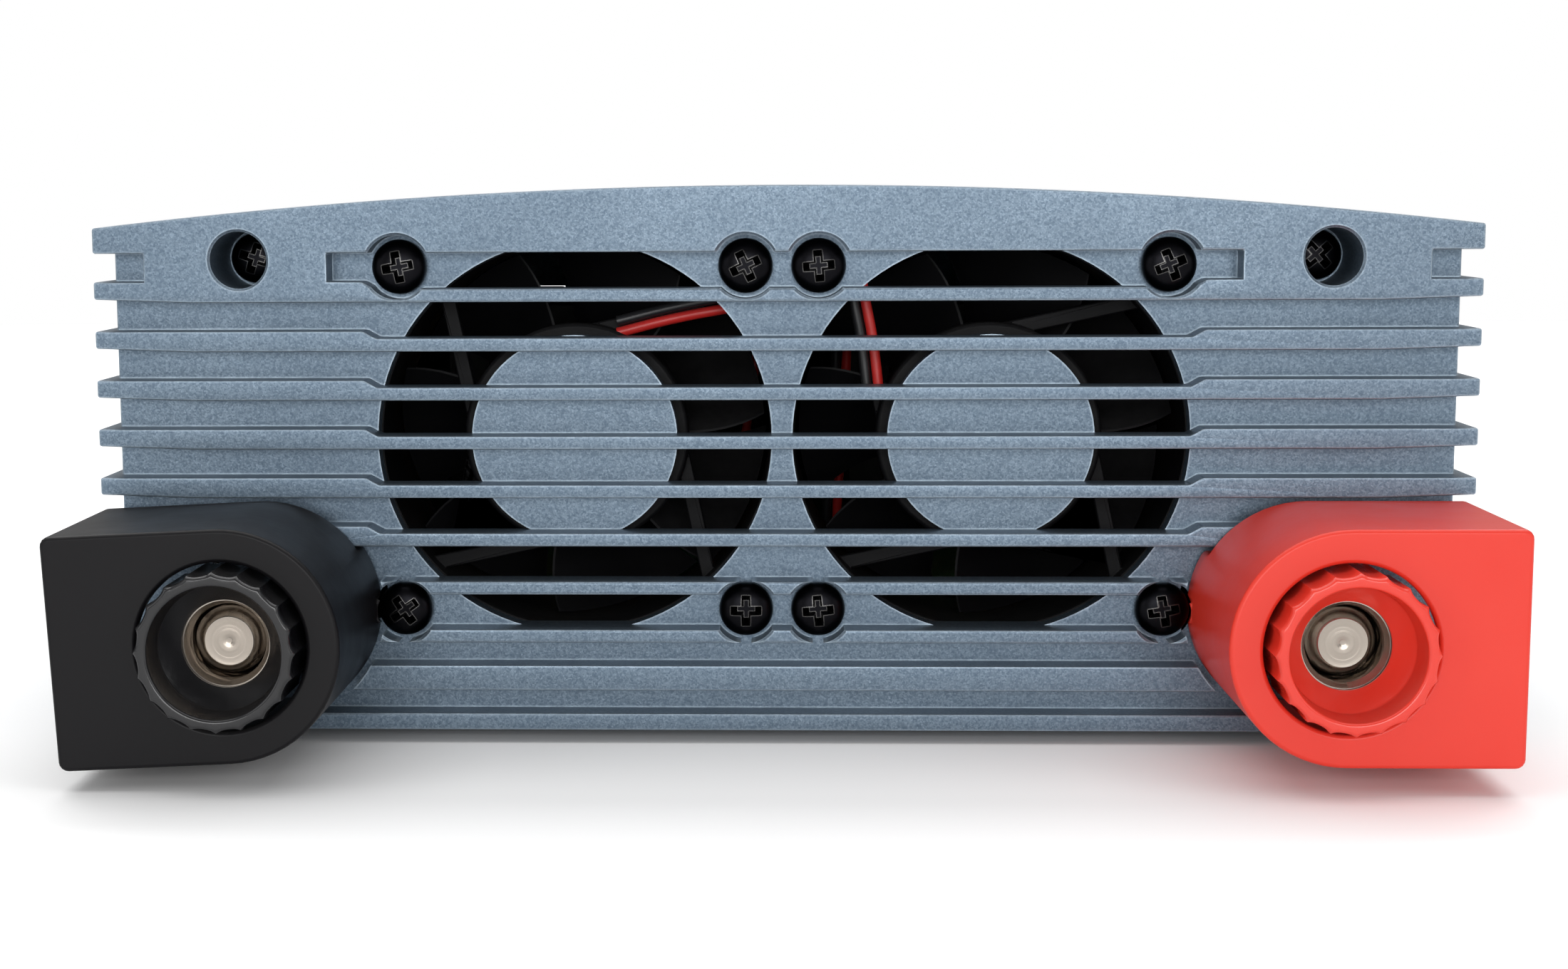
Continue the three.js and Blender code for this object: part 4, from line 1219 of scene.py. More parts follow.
def pan_screw(name, node, shank, angle, place=DC, radius=3.95, tall=2.9):
    """A domed screw about its CAD node's axis, its head seated where the node's head is."""
    x, z = axis_of(node, place)
    seat = min(corner.y for corner in corners_of(node, place)) + tall
    axis = place @ Matrix.Translation((x, seat, z))
    dome = [(0, -tall)]
    for k in range(1, 11):
        lean = math.pi / 2 * k / 10
        dome.append((radius * math.sin(lean) ** 0.85, -tall * (0.16 + 0.84 * math.cos(lean) ** 0.8)))
    tip = shank[1]
    profile = dome + [(radius - 0.15, 0), (shank[0] + 0.15, 0)] + along(shank[0], 0.4, tip - 1.2)
    profile += [(shank[0] * 0.45, tip), (0, tip)]
    swell = thread(shank[0], **COARSE_THREAD)
    screw = turned(name, profile, sides=40, swell=swell, place=axis)
    cut(screw, [cross_tool(top=-tall, angle=angle, place=axis, **CROSS)])
    return smooth(screw, 38)


# %% The sixteen screws
FAN_SCREW_TURNS = {"left": (35, 10, 0, 25), "right": (5, 5, 10, 22)}
FAN_SHANK, PANEL_SHANK_R = (1.8, 8.8), 1.7
PANEL_LEVELS = (("top", 18, 12), ("low", 26, 40))
for hand in SIDES:
    for k, angle in enumerate(FAN_SCREW_TURNS[hand]):
        node = f"fan_screw_{hand}_{k + 1}"
        screw = pan_screw(f"fan_fixing_{hand}_{k + 1}", node, FAN_SHANK, angle)
        fit(screw, BLACK_SCREW, "black_screw", nodes=[node])
    for end, place in (("dc", DC), ("ac", AC)):
        for level, length, angle in PANEL_LEVELS:
            node = f"{end}_panel_screw_{level}_{hand}"
            screw = pan_screw(f"{end}_panel_fixing_{level}_{hand}", node, (PANEL_SHANK_R, length),
                              angle + 30 * SIDES[hand], place, radius=3.7, tall=2.5)
            fit(screw, BLACK_SCREW, "black_screw", nodes=[node])

# %% [markdown]
# ## The fans
#
# Each fan is a square plastic housing with a round tunnel, four struts that carry the motor,
# and a rotor with seven swept blades. The housing is cut from a solid like the panel. The
# blades are thin swept surfaces with a real thickness, one grid of points each, because a
# blade that is only a flat plate shows at once when a lamp crosses it.

# %% Fan housings
FAN_HALF, FAN_DEEP, FLANGE, TUNNEL_R = 30.0, 25.0, 4.0, 28.5
FAN_Y = FAN_MIDDLE["left"].y - FAN_DEEP / 2
MOTOR_BASE_R = 16.5
STRUT_START, STRUT_END, STRUT_WIDE = (-14.6, -1), (-19.9, 24), 2.2
STRUT_Y = (5.9 - FAN_Y, 7.3 - FAN_Y)
FAN_HOLE, LEAD_SLOT_Z = 25.0, (17.4, 22.4)
FRONT_SLOT = ((19, 30.5), (-1, FLANGE + 0.2), LEAD_SLOT_Z)
REAR_SLOT = ((26, 31), (FAN_DEEP - FLANGE - 0.2, FAN_DEEP + 1), LEAD_SLOT_Z)


def strut(place):
    (x0, z0), (x1, z1) = STRUT_START, STRUT_END
    wide = STRUT_WIDE / 2
    outline = [(x0 - wide, z0), (x0 + wide, z0), (x1 + wide, z1), (x1 - wide, z1)]
    return prism("strut", outline, *STRUT_Y, place)


def fan_housing(hand):
    middle = FAN_MIDDLE[hand]
    quarter = 0 if hand == "left" else -math.pi / 2
    place = DC @ Matrix.Translation((middle.x, FAN_Y, middle.z)) @ Matrix.Rotation(quarter, 4, "Y")
    square = oblong(FAN_HALF, FAN_HALF, 4.0, steps=6)
    body = prism(f"fan_housing_{hand}", square, 0, FLANGE, place)
    join(body, [prism("rear", square, FAN_DEEP - FLANGE, FAN_DEEP, place),
                rod("tube", 0, 0, FAN_HALF - 0.1, 0.5, FAN_DEEP - 0.5, place, 96)])
    tools = [rod("tunnel", 0, 0, TUNNEL_R, -1, FAN_DEEP + 1, place, 96)]
    for h in (-1, 1):
        for v in (-1, 1):
            x, z = h * FAN_HOLE, v * FAN_HOLE
            tools.append(rod("hole", x, z, SCREW_HOLE_R, -1, FAN_DEEP + 1, place, 24))
    tools += [block("slot", *FRONT_SLOT, place), block("slot", *REAR_SLOT, place)]
    cut(body, tools)
    arms = [strut(place @ Matrix.Rotation(k * math.pi / 2, 4, "Y")) for k in range(4)]
    cut(arms[1], [block("slot", *FRONT_SLOT, place)])
    base = turned("base", rounded([(0, 0.4), (MOTOR_BASE_R, 0.4, 0.6), (MOTOR_BASE_R, 4.0, 0.4),
                                   (0, 4.0)]), place=place)
    join(body, [base, *arms])
    return soft_edges(clean(body), 0.25)


for hand in SIDES:
    fit(fan_housing(hand), FAN_PLASTIC, "fan_plastic", nodes=[f"fan_frame_{hand}"])
    print("fan housing, mm:", hand, [round(v, 1) for v in FAN_MIDDLE[hand]])

# %% [markdown]
# ### Rotors
#
# The hub is a cup pressed over the motor. Each blade starts inside it, sweeps round as it
# runs back, and gets thinner towards its tip and its two edges.

# %% Fan rotors
HUB_R, BLADE_TIP, HUB_FRONT, HUB_BACK = 15.5, 27.7, 7.8, 26.0
BLADES, BLADE_THICK, SWEEP = 7, 1.1, 0.62


def blade(angle, place):
    """One swept blade as a closed grid: out along the radius, back along the axis."""
    across_steps, along_steps = 8, 12
    verts = []
    for face in (-1, 1):
        for i in range(along_steps + 1):
            v = i / along_steps
            for j in range(across_steps + 1):
                u = j / across_steps
                r = HUB_R - 0.6 + (BLADE_TIP - HUB_R + 0.6) * u
                edge = 1 - abs(2 * v - 1) ** 6
                thick = BLADE_THICK * (0.35 + 0.65 * edge) * (1 - 0.3 * u)
                turn = angle + SWEEP * v * (1 + 0.25 * v) + 0.10 * u * u + face * thick / 2 / r
                front = HUB_FRONT + 1 + 1.6 * u * u
                y = front + (HUB_BACK - 0.8 - front) * v
                verts.append((r * math.cos(turn), y, r * math.sin(turn)))
    row = across_steps + 1
    sheet = row * (along_steps + 1)
    faces = []
    for i in range(along_steps):
        for j in range(across_steps):
            a = i * row + j
            quad = (a, a + 1, a + row + 1, a + row)
            faces += [quad, tuple(sheet + k for k in quad[::-1])]
    rim = list(range(row)) + [i * row + across_steps for i in range(1, along_steps + 1)]
    rim += [along_steps * row + j for j in range(across_steps - 1, -1, -1)]
    rim += [i * row for i in range(along_steps - 1, 0, -1)]
    for k, a in enumerate(rim):
        b = rim[(k + 1) % len(rim)]
        faces.append((a, sheet + a, sheet + b, b))
    return new_object("blade", verts, faces, place)


def fan_rotor(hand):
    middle = FAN_MIDDLE[hand]
    place = DC @ Matrix.Translation((middle.x, 0, middle.z))
    profile = rounded([(0, HUB_FRONT), (HUB_R, HUB_FRONT, 1.6), (HUB_R, HUB_BACK, 0.5),
                       (HUB_R - 1.4, HUB_BACK, 0.3), (HUB_R - 1.4, HUB_BACK - 1.2, 0.3),
                       (4.0, HUB_BACK - 1.2, 0.4), (3.6, HUB_BACK, 0.3), (0, HUB_BACK)])
    rotor = turned(f"fan_wheel_{hand}", profile, place=place, sides=84)
    join(rotor, [blade(k * 2 * math.pi / BLADES, place) for k in range(BLADES)])
    return smooth(rotor, 35)


for hand in SIDES:
    fit(fan_rotor(hand), FAN_PLASTIC, "fan_plastic", f"rotor_{hand}", [f"fan_rotor_{hand}"])
print("blades on each rotor:", BLADES)

# %% [markdown]
# ### The fan leads
#
# Each motor has a red and a black wire, laid side by side along a strut, back over the
# tunnel and down to the board. A lead that is held all the way needs no simulation: a smooth
# curve through the points of its route, given the wire's real thickness, is enough.

# %% Wires
WIRE_R, WIRES_APART = 0.78, 0.85
LEADS = {
    "left": [(-24.2, 4.9, 58.4), (-16.2, 4.9, 60.4), (-8.8, 4.9, 61.8), (-3.9, 6.0, 62.5),
             (-2.3, 10, 62.5), (-2.3, 27, 62.5), (-3, 33, 60), (-6, 39, 40), (-8, 41, 26),
             (-8, 42, 18.4)],
    "right": [(13.4, 4.9, 48.6), (12.4, 4.9, 56.6), (11.0, 4.9, 64.0), (10.4, 6.0, 68.9),
              (10.3, 10, 70.4), (10.3, 27, 70.4), (10, 33, 67), (9, 39, 42), (8, 41, 26),
              (8, 42, 18.4)],
}


def wire_piece(name, points, radius):
    """A round wire on a smooth curve through its points, with closed ends."""
    data = bpy.data.curves.new(name, "CURVE")
    data.dimensions = "3D"
    data.bevel_depth = radius * MM
    data.bevel_resolution = 3
    data.resolution_u = 8
    data.use_fill_caps = True
    spline = data.splines.new("BEZIER")
    spline.bezier_points.add(len(points) - 1)
    for knot, point in zip(spline.bezier_points, points):
        knot.co = DC @ Vector(point)
        knot.handle_left_type = knot.handle_right_type = "AUTO"
    shape = bpy.data.objects.new(name, data)
    bpy.context.collection.objects.link(shape)
    graph = bpy.context.evaluated_depsgraph_get()
    mesh = bpy.data.meshes.new_from_object(shape.evaluated_get(graph))
    bpy.data.objects.remove(shape)
    made = bpy.data.objects.new(name, mesh)
    bpy.context.collection.objects.link(made)
    return smooth(made, 60)


for hand, route in LEADS.items():
    beside = (0, 0, WIRES_APART) if hand == "left" else (-WIRES_APART, 0, 0)
    for tint, sleeve, step in (("red", RED_SLEEVE, -1), ("black", BLACK_SLEEVE, 1)):
        shift = Vector(beside) * step
        points = [tuple(Vector(point) + shift) for point in route]
        nodes = [f"fan_lead_{hand}"] if tint == "red" else []
        strand = wire_piece(f"fan_wire_{hand}_{tint}", points, WIRE_R)
        fit(strand, sleeve, "lead_sleeve", nodes=nodes)
    print("fan lead bends:", hand, len(route))

# %% [markdown]
# ## The battery terminals
#
# A plated stud passes through the panel in a plastic insulator. A ring lug goes over it
# against the collar, and the washer and the hand knob clamp it. The knob is a scalloped
# plastic ring moulded round a threaded metal insert, with a wide mouth in front through
# which the stud's turned end is seen. A box-shaped cover, open to the side for the cable,
# slips over all of it.

# %% Studs, nuts and insulators
STUD_R, STUD_TIP, STUD_END, STUD_CHAMFER, STUD_INNER = 4.85, 3.5, -29.8, 1.35, 22.0
COLLAR_R, COLLAR_Y = 7.0, (-7.0, -5.3)
THREAD_PITCH, THREAD_DEPTH = 1.5, 0.5
PLAIN_SHANK = (1, 8.8)
TURNED_FACE = [(0, 0.16), (0.5, 0.12), (0.8, 0.02), (1.5, 0.04), (2.4, 0.1), (3.3, 0.02),
               (STUD_TIP, 0.12)]
NUT_HALF, NUT_Y = 8.5, (10.8, 17.8)
FLANGE_FRONT, SLEEVE_R, SLEEVE_BACK, STUD_GAP = -5.0, 8.7, 8.0, 0.3


def stud(pole):
    """A threaded bar with a collar for the lug and rings on its turned end."""
    face = [(r, STUD_END + y) for r, y in TURNED_FACE]
    body = face + along(STUD_R, STUD_END + STUD_CHAMFER, COLLAR_Y[0] - 0.6)
    collar = rounded([(STUD_R - 0.4, COLLAR_Y[0]), (COLLAR_R, COLLAR_Y[0], 0.3),
                      (COLLAR_R, COLLAR_Y[1], 0.3), (STUD_R - 0.4, COLLAR_Y[1])])
    inner = along(STUD_R, 9, STUD_INNER - 1) + [(STUD_R - 1, STUD_INNER), (0, STUD_INNER)]
    profile = body + collar + [(STUD_R - 0.02, y) for y in PLAIN_SHANK] + inner
    return turned(f"terminal_stud_{pole}", profile, STUD_AT[pole], 64,
                  swell=thread(STUD_R, THREAD_PITCH, THREAD_DEPTH))


def nut(pole):
    """A hexagonal nut whose corners are turned down at both faces."""
    x, z = STUD_AT[pole]
    hexagon = circle(x, z, NUT_HALF / math.cos(math.pi / 6), 6)
    made = prism(f"terminal_nut_{pole}", hexagon, *NUT_Y)
    cut(made, [rod("bore", x, z, STUD_R + 0.05, NUT_Y[0] - 1, NUT_Y[1] + 1)])
    return soft_edges(made, 0.5)


def insulator(pole):
    profile = rounded([
        (STUD_R + STUD_GAP, FLANGE_FRONT, 0.3), (INSULATOR_R, FLANGE_FRONT, 0.8),
        (INSULATOR_R, -0.3, 0.2), (SLEEVE_R, -0.3), (SLEEVE_R, SLEEVE_BACK, 0.4),
        (STUD_R + STUD_GAP, SLEEVE_BACK, 0.3)])
    return smooth(turned(f"stud_bush_{pole}", profile, STUD_AT[pole], ring=True))


PLASTIC = {"negative": (BLACK_PLASTIC, "black_plastic"), "positive": (RED_PLASTIC, "red_plastic")}
for pole in POLES:
    fit(smooth(stud(pole), 30), NICKEL[pole], "nickel", nodes=[f"stud_{pole}"])
    fit(nut(pole), NICKEL[pole], "nickel")
    fit(insulator(pole), *PLASTIC[pole], nodes=[f"insulator_{pole}"])
print("studs, mm across and up:", STUD_AT)

# %% [markdown]
# ### Hand knobs
#
# The knob and its metal core turn together and run along the stud's thread. The scallops are
# pushed into the lathe profile as it is turned, and they fade out below the rim. The washer
# under the knob slides along with it but doesn't turn.

# %% Knobs, inserts and washers
KNOB_R, KNOB_RIDGES, KNOB_DIP = 10.9, 20, 0.5
KNOB_FRONT, KNOB_RIM, KNOB_BODY, KNOB_BACK = -39.3, -26.5, 9.6, -11.0
MOUTH_R, WAIST, THROAT, KNOB_EXIT = 8.95, (8.6, -34.6), (6.0, -31.9), 6.2
INSERT_R, INSERT_BORE, INSERT_Y, INSERT_GAP = 7.6, 5.15, (-31.3, -12.2), 0.3
WASHER_R, WASHER_Y = 10.0, (-10.6, -9.3)


def scallop(r, y, angle):
    """Twenty shallow hollows round the rim, with a soft ridge between each two."""
    if r < KNOB_BODY + 0.3 or y > KNOB_RIM + 0.6:
        return r
    along_ridge = (angle * KNOB_RIDGES / (2 * math.pi)) % 1.0
    hollow = 1 - abs(2 * along_ridge - 1) ** 2.6
    share = min(1.0, (r - KNOB_BODY) / (KNOB_R - KNOB_BODY))
    return r - KNOB_DIP * hollow * share


def knob(pole):
    pocket_r = INSERT_R + INSERT_GAP
    front, back = INSERT_Y[0] - INSERT_GAP, INSERT_Y[1] + INSERT_GAP
    outer = rounded([
        (MOUTH_R, KNOB_FRONT, 0.5), (KNOB_R, KNOB_FRONT, 0.7), (KNOB_R, KNOB_RIM, 0.6),
        (KNOB_BODY, KNOB_RIM, 0.3), (KNOB_BODY, KNOB_BACK, 0.6), (KNOB_EXIT, KNOB_BACK, 0.4),
        (KNOB_EXIT, back), (pocket_r, back), (pocket_r, front), (THROAT[0], front, 0.1),
        (*THROAT, 0.25), (*WAIST, 0.6)], 5)
    made = turned(f"clamp_knob_{pole}", outer, STUD_AT[pole], KNOB_RIDGES * 8, ring=True,
                  swell=scallop)
    return smooth(made, 50)


def insert(pole):
    mouth, seat = INSERT_Y
    bore = along(INSERT_BORE, seat, mouth + 0.8)
    profile = bore + rounded([(INSERT_BORE + 0.7, mouth), (INSERT_R, mouth, 0.3),
                              (INSERT_R, seat, 0.3)])
    return turned(f"knob_core_{pole}", profile, STUD_AT[pole], 64, ring=True,
                  swell=thread(INSERT_BORE, THREAD_PITCH, 0.35, inward=True))


def washer(pole):
    bore = STUD_R + 0.5
    profile = rounded([(bore, WASHER_Y[0], 0.15), (WASHER_R, WASHER_Y[0], 0.35),
                       (WASHER_R, WASHER_Y[1], 0.2), (bore, WASHER_Y[1], 0.15)])
    return turned(f"clamp_washer_{pole}", profile, STUD_AT[pole], ring=True)


GLOSSY = {"negative": BLACK_KNOB, "positive": RED_KNOB}
for pole in POLES:
    fit(knob(pole), GLOSSY[pole], PLASTIC[pole][1], f"knob_{pole}", [f"knob_{pole}"])
    fit(smooth(insert(pole), 30), NICKEL[pole], "nickel", f"knob_{pole}", [f"knob_insert_{pole}"])
    fit(smooth(washer(pole)), NICKEL[pole], "nickel", f"washer_{pole}", [f"washer_{pole}"])
    dress(f"busbar_{pole}", COPPER, 0.35)
print("knob ridges:", KNOB_RIDGES)

# %% [markdown]
# ### Terminal covers
#
# A cover is a moulded box, round towards the middle of the panel and square outwards, where
# a slot lets the cable in. Its rim is stepped over the panel's fins and hollowed round the
# nearest fan screw. The black one sits a little crooked, as a loose cover does.

# %% Terminal covers
COVER_FRONT, COVER_HOLE, COVER_RIM = -35.0, 11.5, 8.2
COVER_TURN = {"negative": math.radians(-2.8), "positive": 0.0}
CABLE_SLOT_Z, CABLE_SLOT_Y = (-8.5, 8.0), -30.5
RELIEF_R = 4.3
NEAREST_SCREW = {"negative": "fan_screw_left_1", "positive": "fan_screw_right_3"}


def terminal_cover(pole):
    side = POLES[pole]
    x, z = STUD_AT[pole]
    turn = Matrix.Rotation(COVER_TURN[pole], 4, "Y")
    place = DC @ Matrix.Translation((x, 0, z)) @ turn
    shell = prism(f"cover_box_{pole}", cover_outline(side, corner=1.3), COVER_FRONT, -0.3, place)
    inner = cover_outline(side, -COVER_WALL, corner=0.6)
    outer_x = across(side, COVER_SIDE - COVER_WALL - 1, COVER_SIDE + 1)
    tools = [
        prism("hollow", inner, COVER_FRONT + COVER_WALL, 1, place),
        block("cable_slot", outer_x, (CABLE_SLOT_Y, 1), CABLE_SLOT_Z, place),
        block("step", (-40, 40), (-FIN_DEPTH - 0.2, 1), (COVER_RIM, COVER_R + 1), place),
        rod("relief", *axis_of(NEAREST_SCREW[pole], place), RELIEF_R, -FIN_DEPTH, 1, place),
        rod("knob_hole", 0, 0, COVER_HOLE, COVER_FRONT - 1, 0, place, 96),
    ]
    return soft_edges(clean(cut(shell, tools)), 0.6, segments=3)


for pole in POLES:
    fit(terminal_cover(pole), *PLASTIC[pole], f"cover_{pole}", [f"terminal_cover_{pole}"])

# %% [markdown]
# ## Inside the case
#
# The board lies in the case's grooves with the transformers on it, and the transistors are
# clamped to the aluminium bars at the sides. These keep their CAD shapes with soft edges.
# The windings and the capacitors are rounder than that, so they are made again here.

# %% Board, cores and heat sinks
dress("circuit_board", BOARD, 0.2)
for hand in SIDES:
    dress(f"transformer_core_{hand}", FERRITE, 0.8)
    dress(f"heat_sink_{hand}", HEAT_SINK, 0.3)
print("board, mm:", [round(v, 1) for v in centre_of("circuit_board")])


# %% [markdown]
# ### Windings
#
# A winding is many turns of wire under tape, so its sides bulge a little and are ridged. It
# is built as a stack of round-cornered rings, every second one a trace wider.

# %% Windings
TAPE_LAYERS, TAPE_CORNER, TAPE_RIDGE, TAPE_BULGE = 14, 9, 0.012, 0.07
CORE_LEG = (8.6, 20.6)


def winding(hand):
    low, high = corners_of(f"transformer_winding_{hand}")
    x, y, _ = (low + high) / 2
    half_x, half_y, tall = (high.x - low.x) / 2, (high.y - low.y) / 2, high.z - low.z
    outline = oblong(half_x, half_y, TAPE_CORNER, (x, y), 8)
    count, verts = len(outline), []
    for k in range(TAPE_LAYERS + 1):
        t = k / TAPE_LAYERS
        swell = 1 - TAPE_BULGE + TAPE_BULGE * math.sin(math.pi * t) + TAPE_RIDGE * (k % 2)
        verts += [((a - x) * swell + x, (b - y) * swell + y, low.z + tall * t) for a, b in outline]
    faces = [tuple(range(count)), tuple(range(len(verts) - 1, len(verts) - count - 1, -1))]
    for k in range(TAPE_LAYERS):
        for i in range(count):
            a, b = k * count + i, k * count + (i + 1) % count
            faces.append((a, b, b + count, a + count))
    coil = new_object(f"coil_{hand}", verts, faces)
    wide, deep = CORE_LEG
    leg = block("leg", (x - wide, x + wide), (y - deep, y + deep), (low.z - 1, high.z + 1))
    return soft_edges(clean(cut(coil, [leg]), 0.1), 0.4, angle=50)


# %% [markdown]
# ### Capacitors
#
# A sleeved can, rolled in near its foot, with a bare top that is scored with a cross so that
# it can vent. It stands on the board, so it is turned about an upright axis like the feet.

# %% Capacitors
SCORE, SCORE_LONG, SCORE_DEEP = 0.25, 8, 0.8


def capacitor(hand):
    radius, tall, upright = upright_at(*corners_of(f"bulk_capacitor_{hand}"))
    profile = rounded([
        (0, 0), (radius - 0.2, 0, 0.8), (radius - 0.2, 3.2, 0.4), (radius - 1.0, 4.2, 0.5),
        (radius - 0.2, 5.2, 0.4), (radius - 0.2, tall, 1.4), (radius - 1.6, tall, 0.3),
        (radius - 2.0, tall - 0.5, 0.2), (0, tall - 0.5)])
    can = turned(f"can_{hand}", profile, sides=56, place=upright)
    narrow, long, depth = (-SCORE, SCORE), (-SCORE_LONG, SCORE_LONG), (tall - SCORE_DEEP, tall + 1)
    bars = [block("vent", long, depth, narrow, upright), block("vent", narrow, depth, long, upright)]
    return smooth(cut(can, bars), 40)


for hand in SIDES:
    fit(winding(hand), TAPE, "winding_tape", nodes=[f"transformer_winding_{hand}"])
    fit(capacitor(hand), CAPACITOR_SLEEVE, "capacitor_sleeve", nodes=[f"bulk_capacitor_{hand}"])
print("windings and cans fitted:", 2 * len(SIDES))

# %% [markdown]
# ## The AC end
#
# Two round earthed sockets, a rocker switch in its bezel, a status light, an earth screw and
# a small port for a remote switch. They aren't in the first view, but they get the same care:
# rounded rims, contacts and a dished rocker.

# %% Sockets
SOCKET_RIM, SOCKET_BODY, RECESS_R, RECESS_DEEP, PIN_APART = 23.0, 21.8, 19.6, 17.5, 9.5
SOCKET_FACE = FIN_DEPTH - 0.3
SOCKET_BACK, PIN_R, PIN_DEEP, KEY_HALF = -24, 2.9, -22, 2.4


def socket(hand):
    x, z = axis_of(f"ac_socket_{hand}", AC_OUT)
    floor_y = SOCKET_FACE - RECESS_DEEP
    profile = rounded([
        (0, SOCKET_BACK), (SOCKET_BODY, SOCKET_BACK, 0.8), (SOCKET_BODY, 0.3), (SOCKET_RIM, 0.3, 0.2),
        (SOCKET_RIM, SOCKET_FACE, 0.9), (RECESS_R, SOCKET_FACE, 0.7), (RECESS_R - 0.4, floor_y, 1.0),
        (0, floor_y)])
    made = turned(f"socket_shell_{hand}", profile, (x, z), 96, place=AC_OUT)
    pins = [rod("pin", x + step * PIN_APART, z, PIN_R, PIN_DEEP, 0, AC_OUT, 32) for step in (-1, 1)]
    keys = []
    for step in (-1, 1):
        inner, outer = across(step, RECESS_R - 0.8, RECESS_R + 1.4)
        keys.append(block("key", (x - KEY_HALF, x + KEY_HALF), (floor_y - 2, SOCKET_FACE + 1),
                          (z + inner, z + outer), AC_OUT))
    return smooth(cut(made, pins + keys), 40)


CLIP_BOW = [(-12.6, 0), (-9, -1.6), (-2, -1.44), (1.6, 0)]
CLIP_THICK, CLIP_HALF, CLIP_IN = 0.5, 1.9, 0.9


def earth_clip(hand, step):
    """A sprung strip at the edge of the recess that touches the plug's earth contact."""
    x, middle_z = axis_of(f"ac_socket_{hand}", AC_OUT)
    z = middle_z + step * (RECESS_R - CLIP_IN)
    inner = [(y, z + step * bow) for y, bow in CLIP_BOW]
    outer = [(y, z + step * (bow + CLIP_THICK)) for y, bow in reversed(CLIP_BOW)]
    strip = prism(f"earth_clip_{hand}_{'top' if step > 0 else 'low'}", inner + outer,
                  x - CLIP_HALF, x + CLIP_HALF, AC_OUT, axis="x")
    return soft_edges(strip, 0.12)


for hand in SIDES:
    fit(socket(hand), SOCKET_PLASTIC, "socket_plastic", nodes=[f"ac_socket_{hand}"])
    for step in (-1, 1):
        fit(earth_clip(hand, step), CLEAR_STEEL, "clear_steel")
    print("socket, mm:", hand, axis_of(f"ac_socket_{hand}", AC_OUT))

# %% [markdown]
# ### The switch
#
# A rocker tips in its bezel about a pivot just behind the panel. Its face is dished, and
# carries a raised white bar for on and a ring for off. It is shown off, so it leans.

# %% Switch
SWITCH_PIVOT, SWITCH_LEAN = -1.5, math.radians(-9)
SWITCH_AT = axis_of("switch_bezel", AC_OUT)
SURROUND, BODY, WELL = (12.5, 16.5, 2.5), (10.4, 15.2, 0.5), (9.0, 14.2, 0.6)
DISH, DISH_HALF, KEY_WIDE = 1.3, 13, 8.6


def bezel():
    made = prism("switch_surround", oblong(*SURROUND, SWITCH_AT), 0.3, 2.3, AC_OUT)
    join(made, [prism("body", oblong(*BODY, SWITCH_AT), -14, 1, AC_OUT)])
    cut(made, [prism("well", oblong(*WELL, SWITCH_AT), -12, 4, AC_OUT)])
    return soft_edges(clean(made), 0.4)


def rocker_place():
    """The rocker's pivot, at the lean of its off position."""
    pivot = Matrix.Translation((SWITCH_AT[0], SWITCH_PIVOT, SWITCH_AT[1]))
    return AC_OUT @ pivot @ Matrix.Rotation(SWITCH_LEAN, 4, "X")


def dish_depth(z):
    """How far the rocker's face stands in front of its pivot at a height."""
    return DISH + DISH * (z / DISH_HALF) ** 2


def rocker():
    """A dished rocker: a shallow valley between its two ends, about its pivot."""
    face = [(dish_depth(z), z) for z in range(-DISH_HALF, DISH_HALF + 1)]
    outline = [(-6, -4), (-3.5, -12), *face, (-3.5, 12), (-6, 4)]
    key = prism("switch_key", outline, -KEY_WIDE, KEY_WIDE, rocker_place(), axis="x")
    return soft_edges(key, 0.5, 3)


def switch_mark(name, outline, z, below=0.4, above=0.32):
    """A raised white sign on the rocker: a bar for on, a ring for off."""
    depth = dish_depth(z)
    return prism(name, outline, depth - below, depth + above, rocker_place())


fit(bezel(), SOCKET_PLASTIC, "socket_plastic", nodes=["switch_bezel"])
fit(rocker(), SOCKET_PLASTIC, "socket_plastic", "rocker", ["switch_rocker"])
MARK_Z, MARK_EDGE = 7.5, 0.08
RING_OUTER, RING_INNER = 2.0, 1.25
bar = switch_mark("switch_mark_on", [(-0.4, 5.5), (0.4, 5.5), (0.4, 9.5), (-0.4, 9.5)], MARK_Z)
ring = switch_mark("switch_mark_off", circle(0, -MARK_Z, RING_OUTER), -MARK_Z)
cut(ring, [switch_mark("bore", circle(0, -MARK_Z, RING_INNER), -MARK_Z, 1, 1)])
for mark in (bar, ring):
    fit(soft_edges(mark, MARK_EDGE), WHITE_MARK, "socket_plastic", "rocker")
print("switch leans, degrees:", round(math.degrees(SWITCH_LEAN)))

# %% [markdown]
# ### Light, earth screw and remote port
#
# The light is a moulded green dome that stands a little proud. The earth screw has a slotted
# head over a washer face. The port is a plain shell with a keyway and four sprung contacts.

# %% Light, earth screw and port
LENS_R, LENS_RISE, LENS_LIP = 2.5, 2.2, 0.4
EARTH_R, EARTH_PITCH = 2.7, 0.9
PORT_SHELL, PORT_MOUTH = (7.5, 6.5, 0.8), (5.5, 4.2, 0.3)


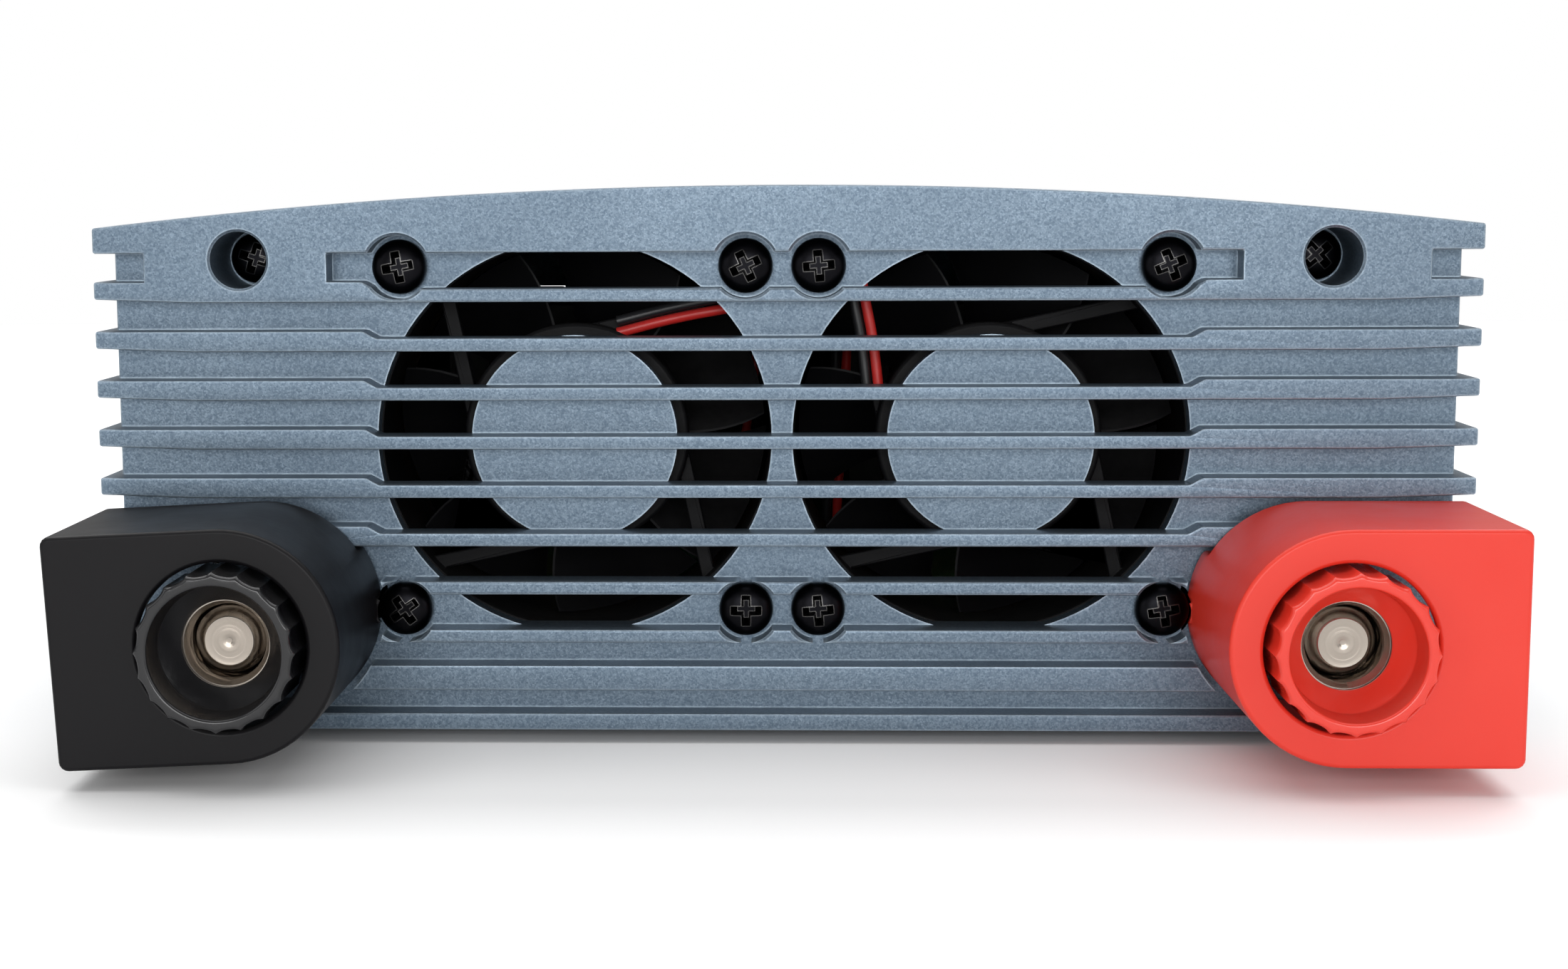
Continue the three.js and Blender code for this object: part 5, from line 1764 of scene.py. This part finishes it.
def status_light():
    leans = [math.pi / 2 * k / 8 for k in range(8)]
    dome = [(LENS_R * math.cos(a), LENS_LIP + LENS_RISE * math.sin(a)) for a in leans]
    profile = [(0, -6), (LENS_R, -6), *dome, (0, LENS_LIP + LENS_RISE)]
    lens = turned("status_lens", profile, axis_of("status_light", AC_OUT), 48, place=AC_OUT)
    return smooth(lens, 50)


def earth_screw():
    x, z = axis_of("earth_screw", AC_OUT)
    head = rounded([(6.0, 0.3, 0.3), (6.0, 1.3, 0.3), (4.9, 1.5, 0.1), (4.9, 3.6, 0.7), (0, 4.0)])
    profile = [(0, -14), (1.6, -14)] + along(EARTH_R, -13, -0.4) + head
    made = turned("earth_fixing", profile, (x, z), 64, place=AC_OUT,
                  swell=thread(EARTH_R, EARTH_PITCH, 0.35))
    slot = block("slot", (x - 7, x + 7), (2.4, 5), (z - 0.5, z + 0.5), AC_OUT)
    return smooth(cut(made, [slot]), 35)


def remote_port():
    x, z = PORT_AT
    shell = prism("port_shell", oblong(*PORT_SHELL, PORT_AT), -14, 1.5, AC_OUT)
    mouth = prism("mouth", oblong(*PORT_MOUTH, PORT_AT), -12, 3, AC_OUT)
    key = block("key", (x - 1.6, x + 1.6), (-12, 3), (z - 5.4, z - 4), AC_OUT)
    return soft_edges(clean(cut(shell, [mouth, key])), 0.25)


PORT_AT = axis_of("remote_port", AC_OUT)
fit(status_light(), LIGHT_LENS, "light_lens", nodes=["status_light"])
fit(earth_screw(), CLEAR_STEEL, "clear_steel", nodes=["earth_screw"])
fit(remote_port(), SOCKET_PLASTIC, "socket_plastic", nodes=["remote_port"])
CONTACT_APART, CONTACT_HALF = 1.3, 0.25
CONTACT_SPRING = [(-11.8, 3.9), (-3.2, 3.9), (-9.4, 1.9), (-9.0, 1.6), (-1.5, 4.15), (-11.8, 4.15)]
for k in range(4):
    x = PORT_AT[0] + (k - 1.5) * CONTACT_APART
    outline = [(y, PORT_AT[1] + z) for y, z in CONTACT_SPRING]
    contact = prism(f"port_contact_{k + 1}", outline, x - CONTACT_HALF, x + CONTACT_HALF, AC_OUT,
                    axis="x")
    fit(soft_edges(contact, 0.05), COPPER, "copper_bar")
print("port, mm across and up:", PORT_AT)
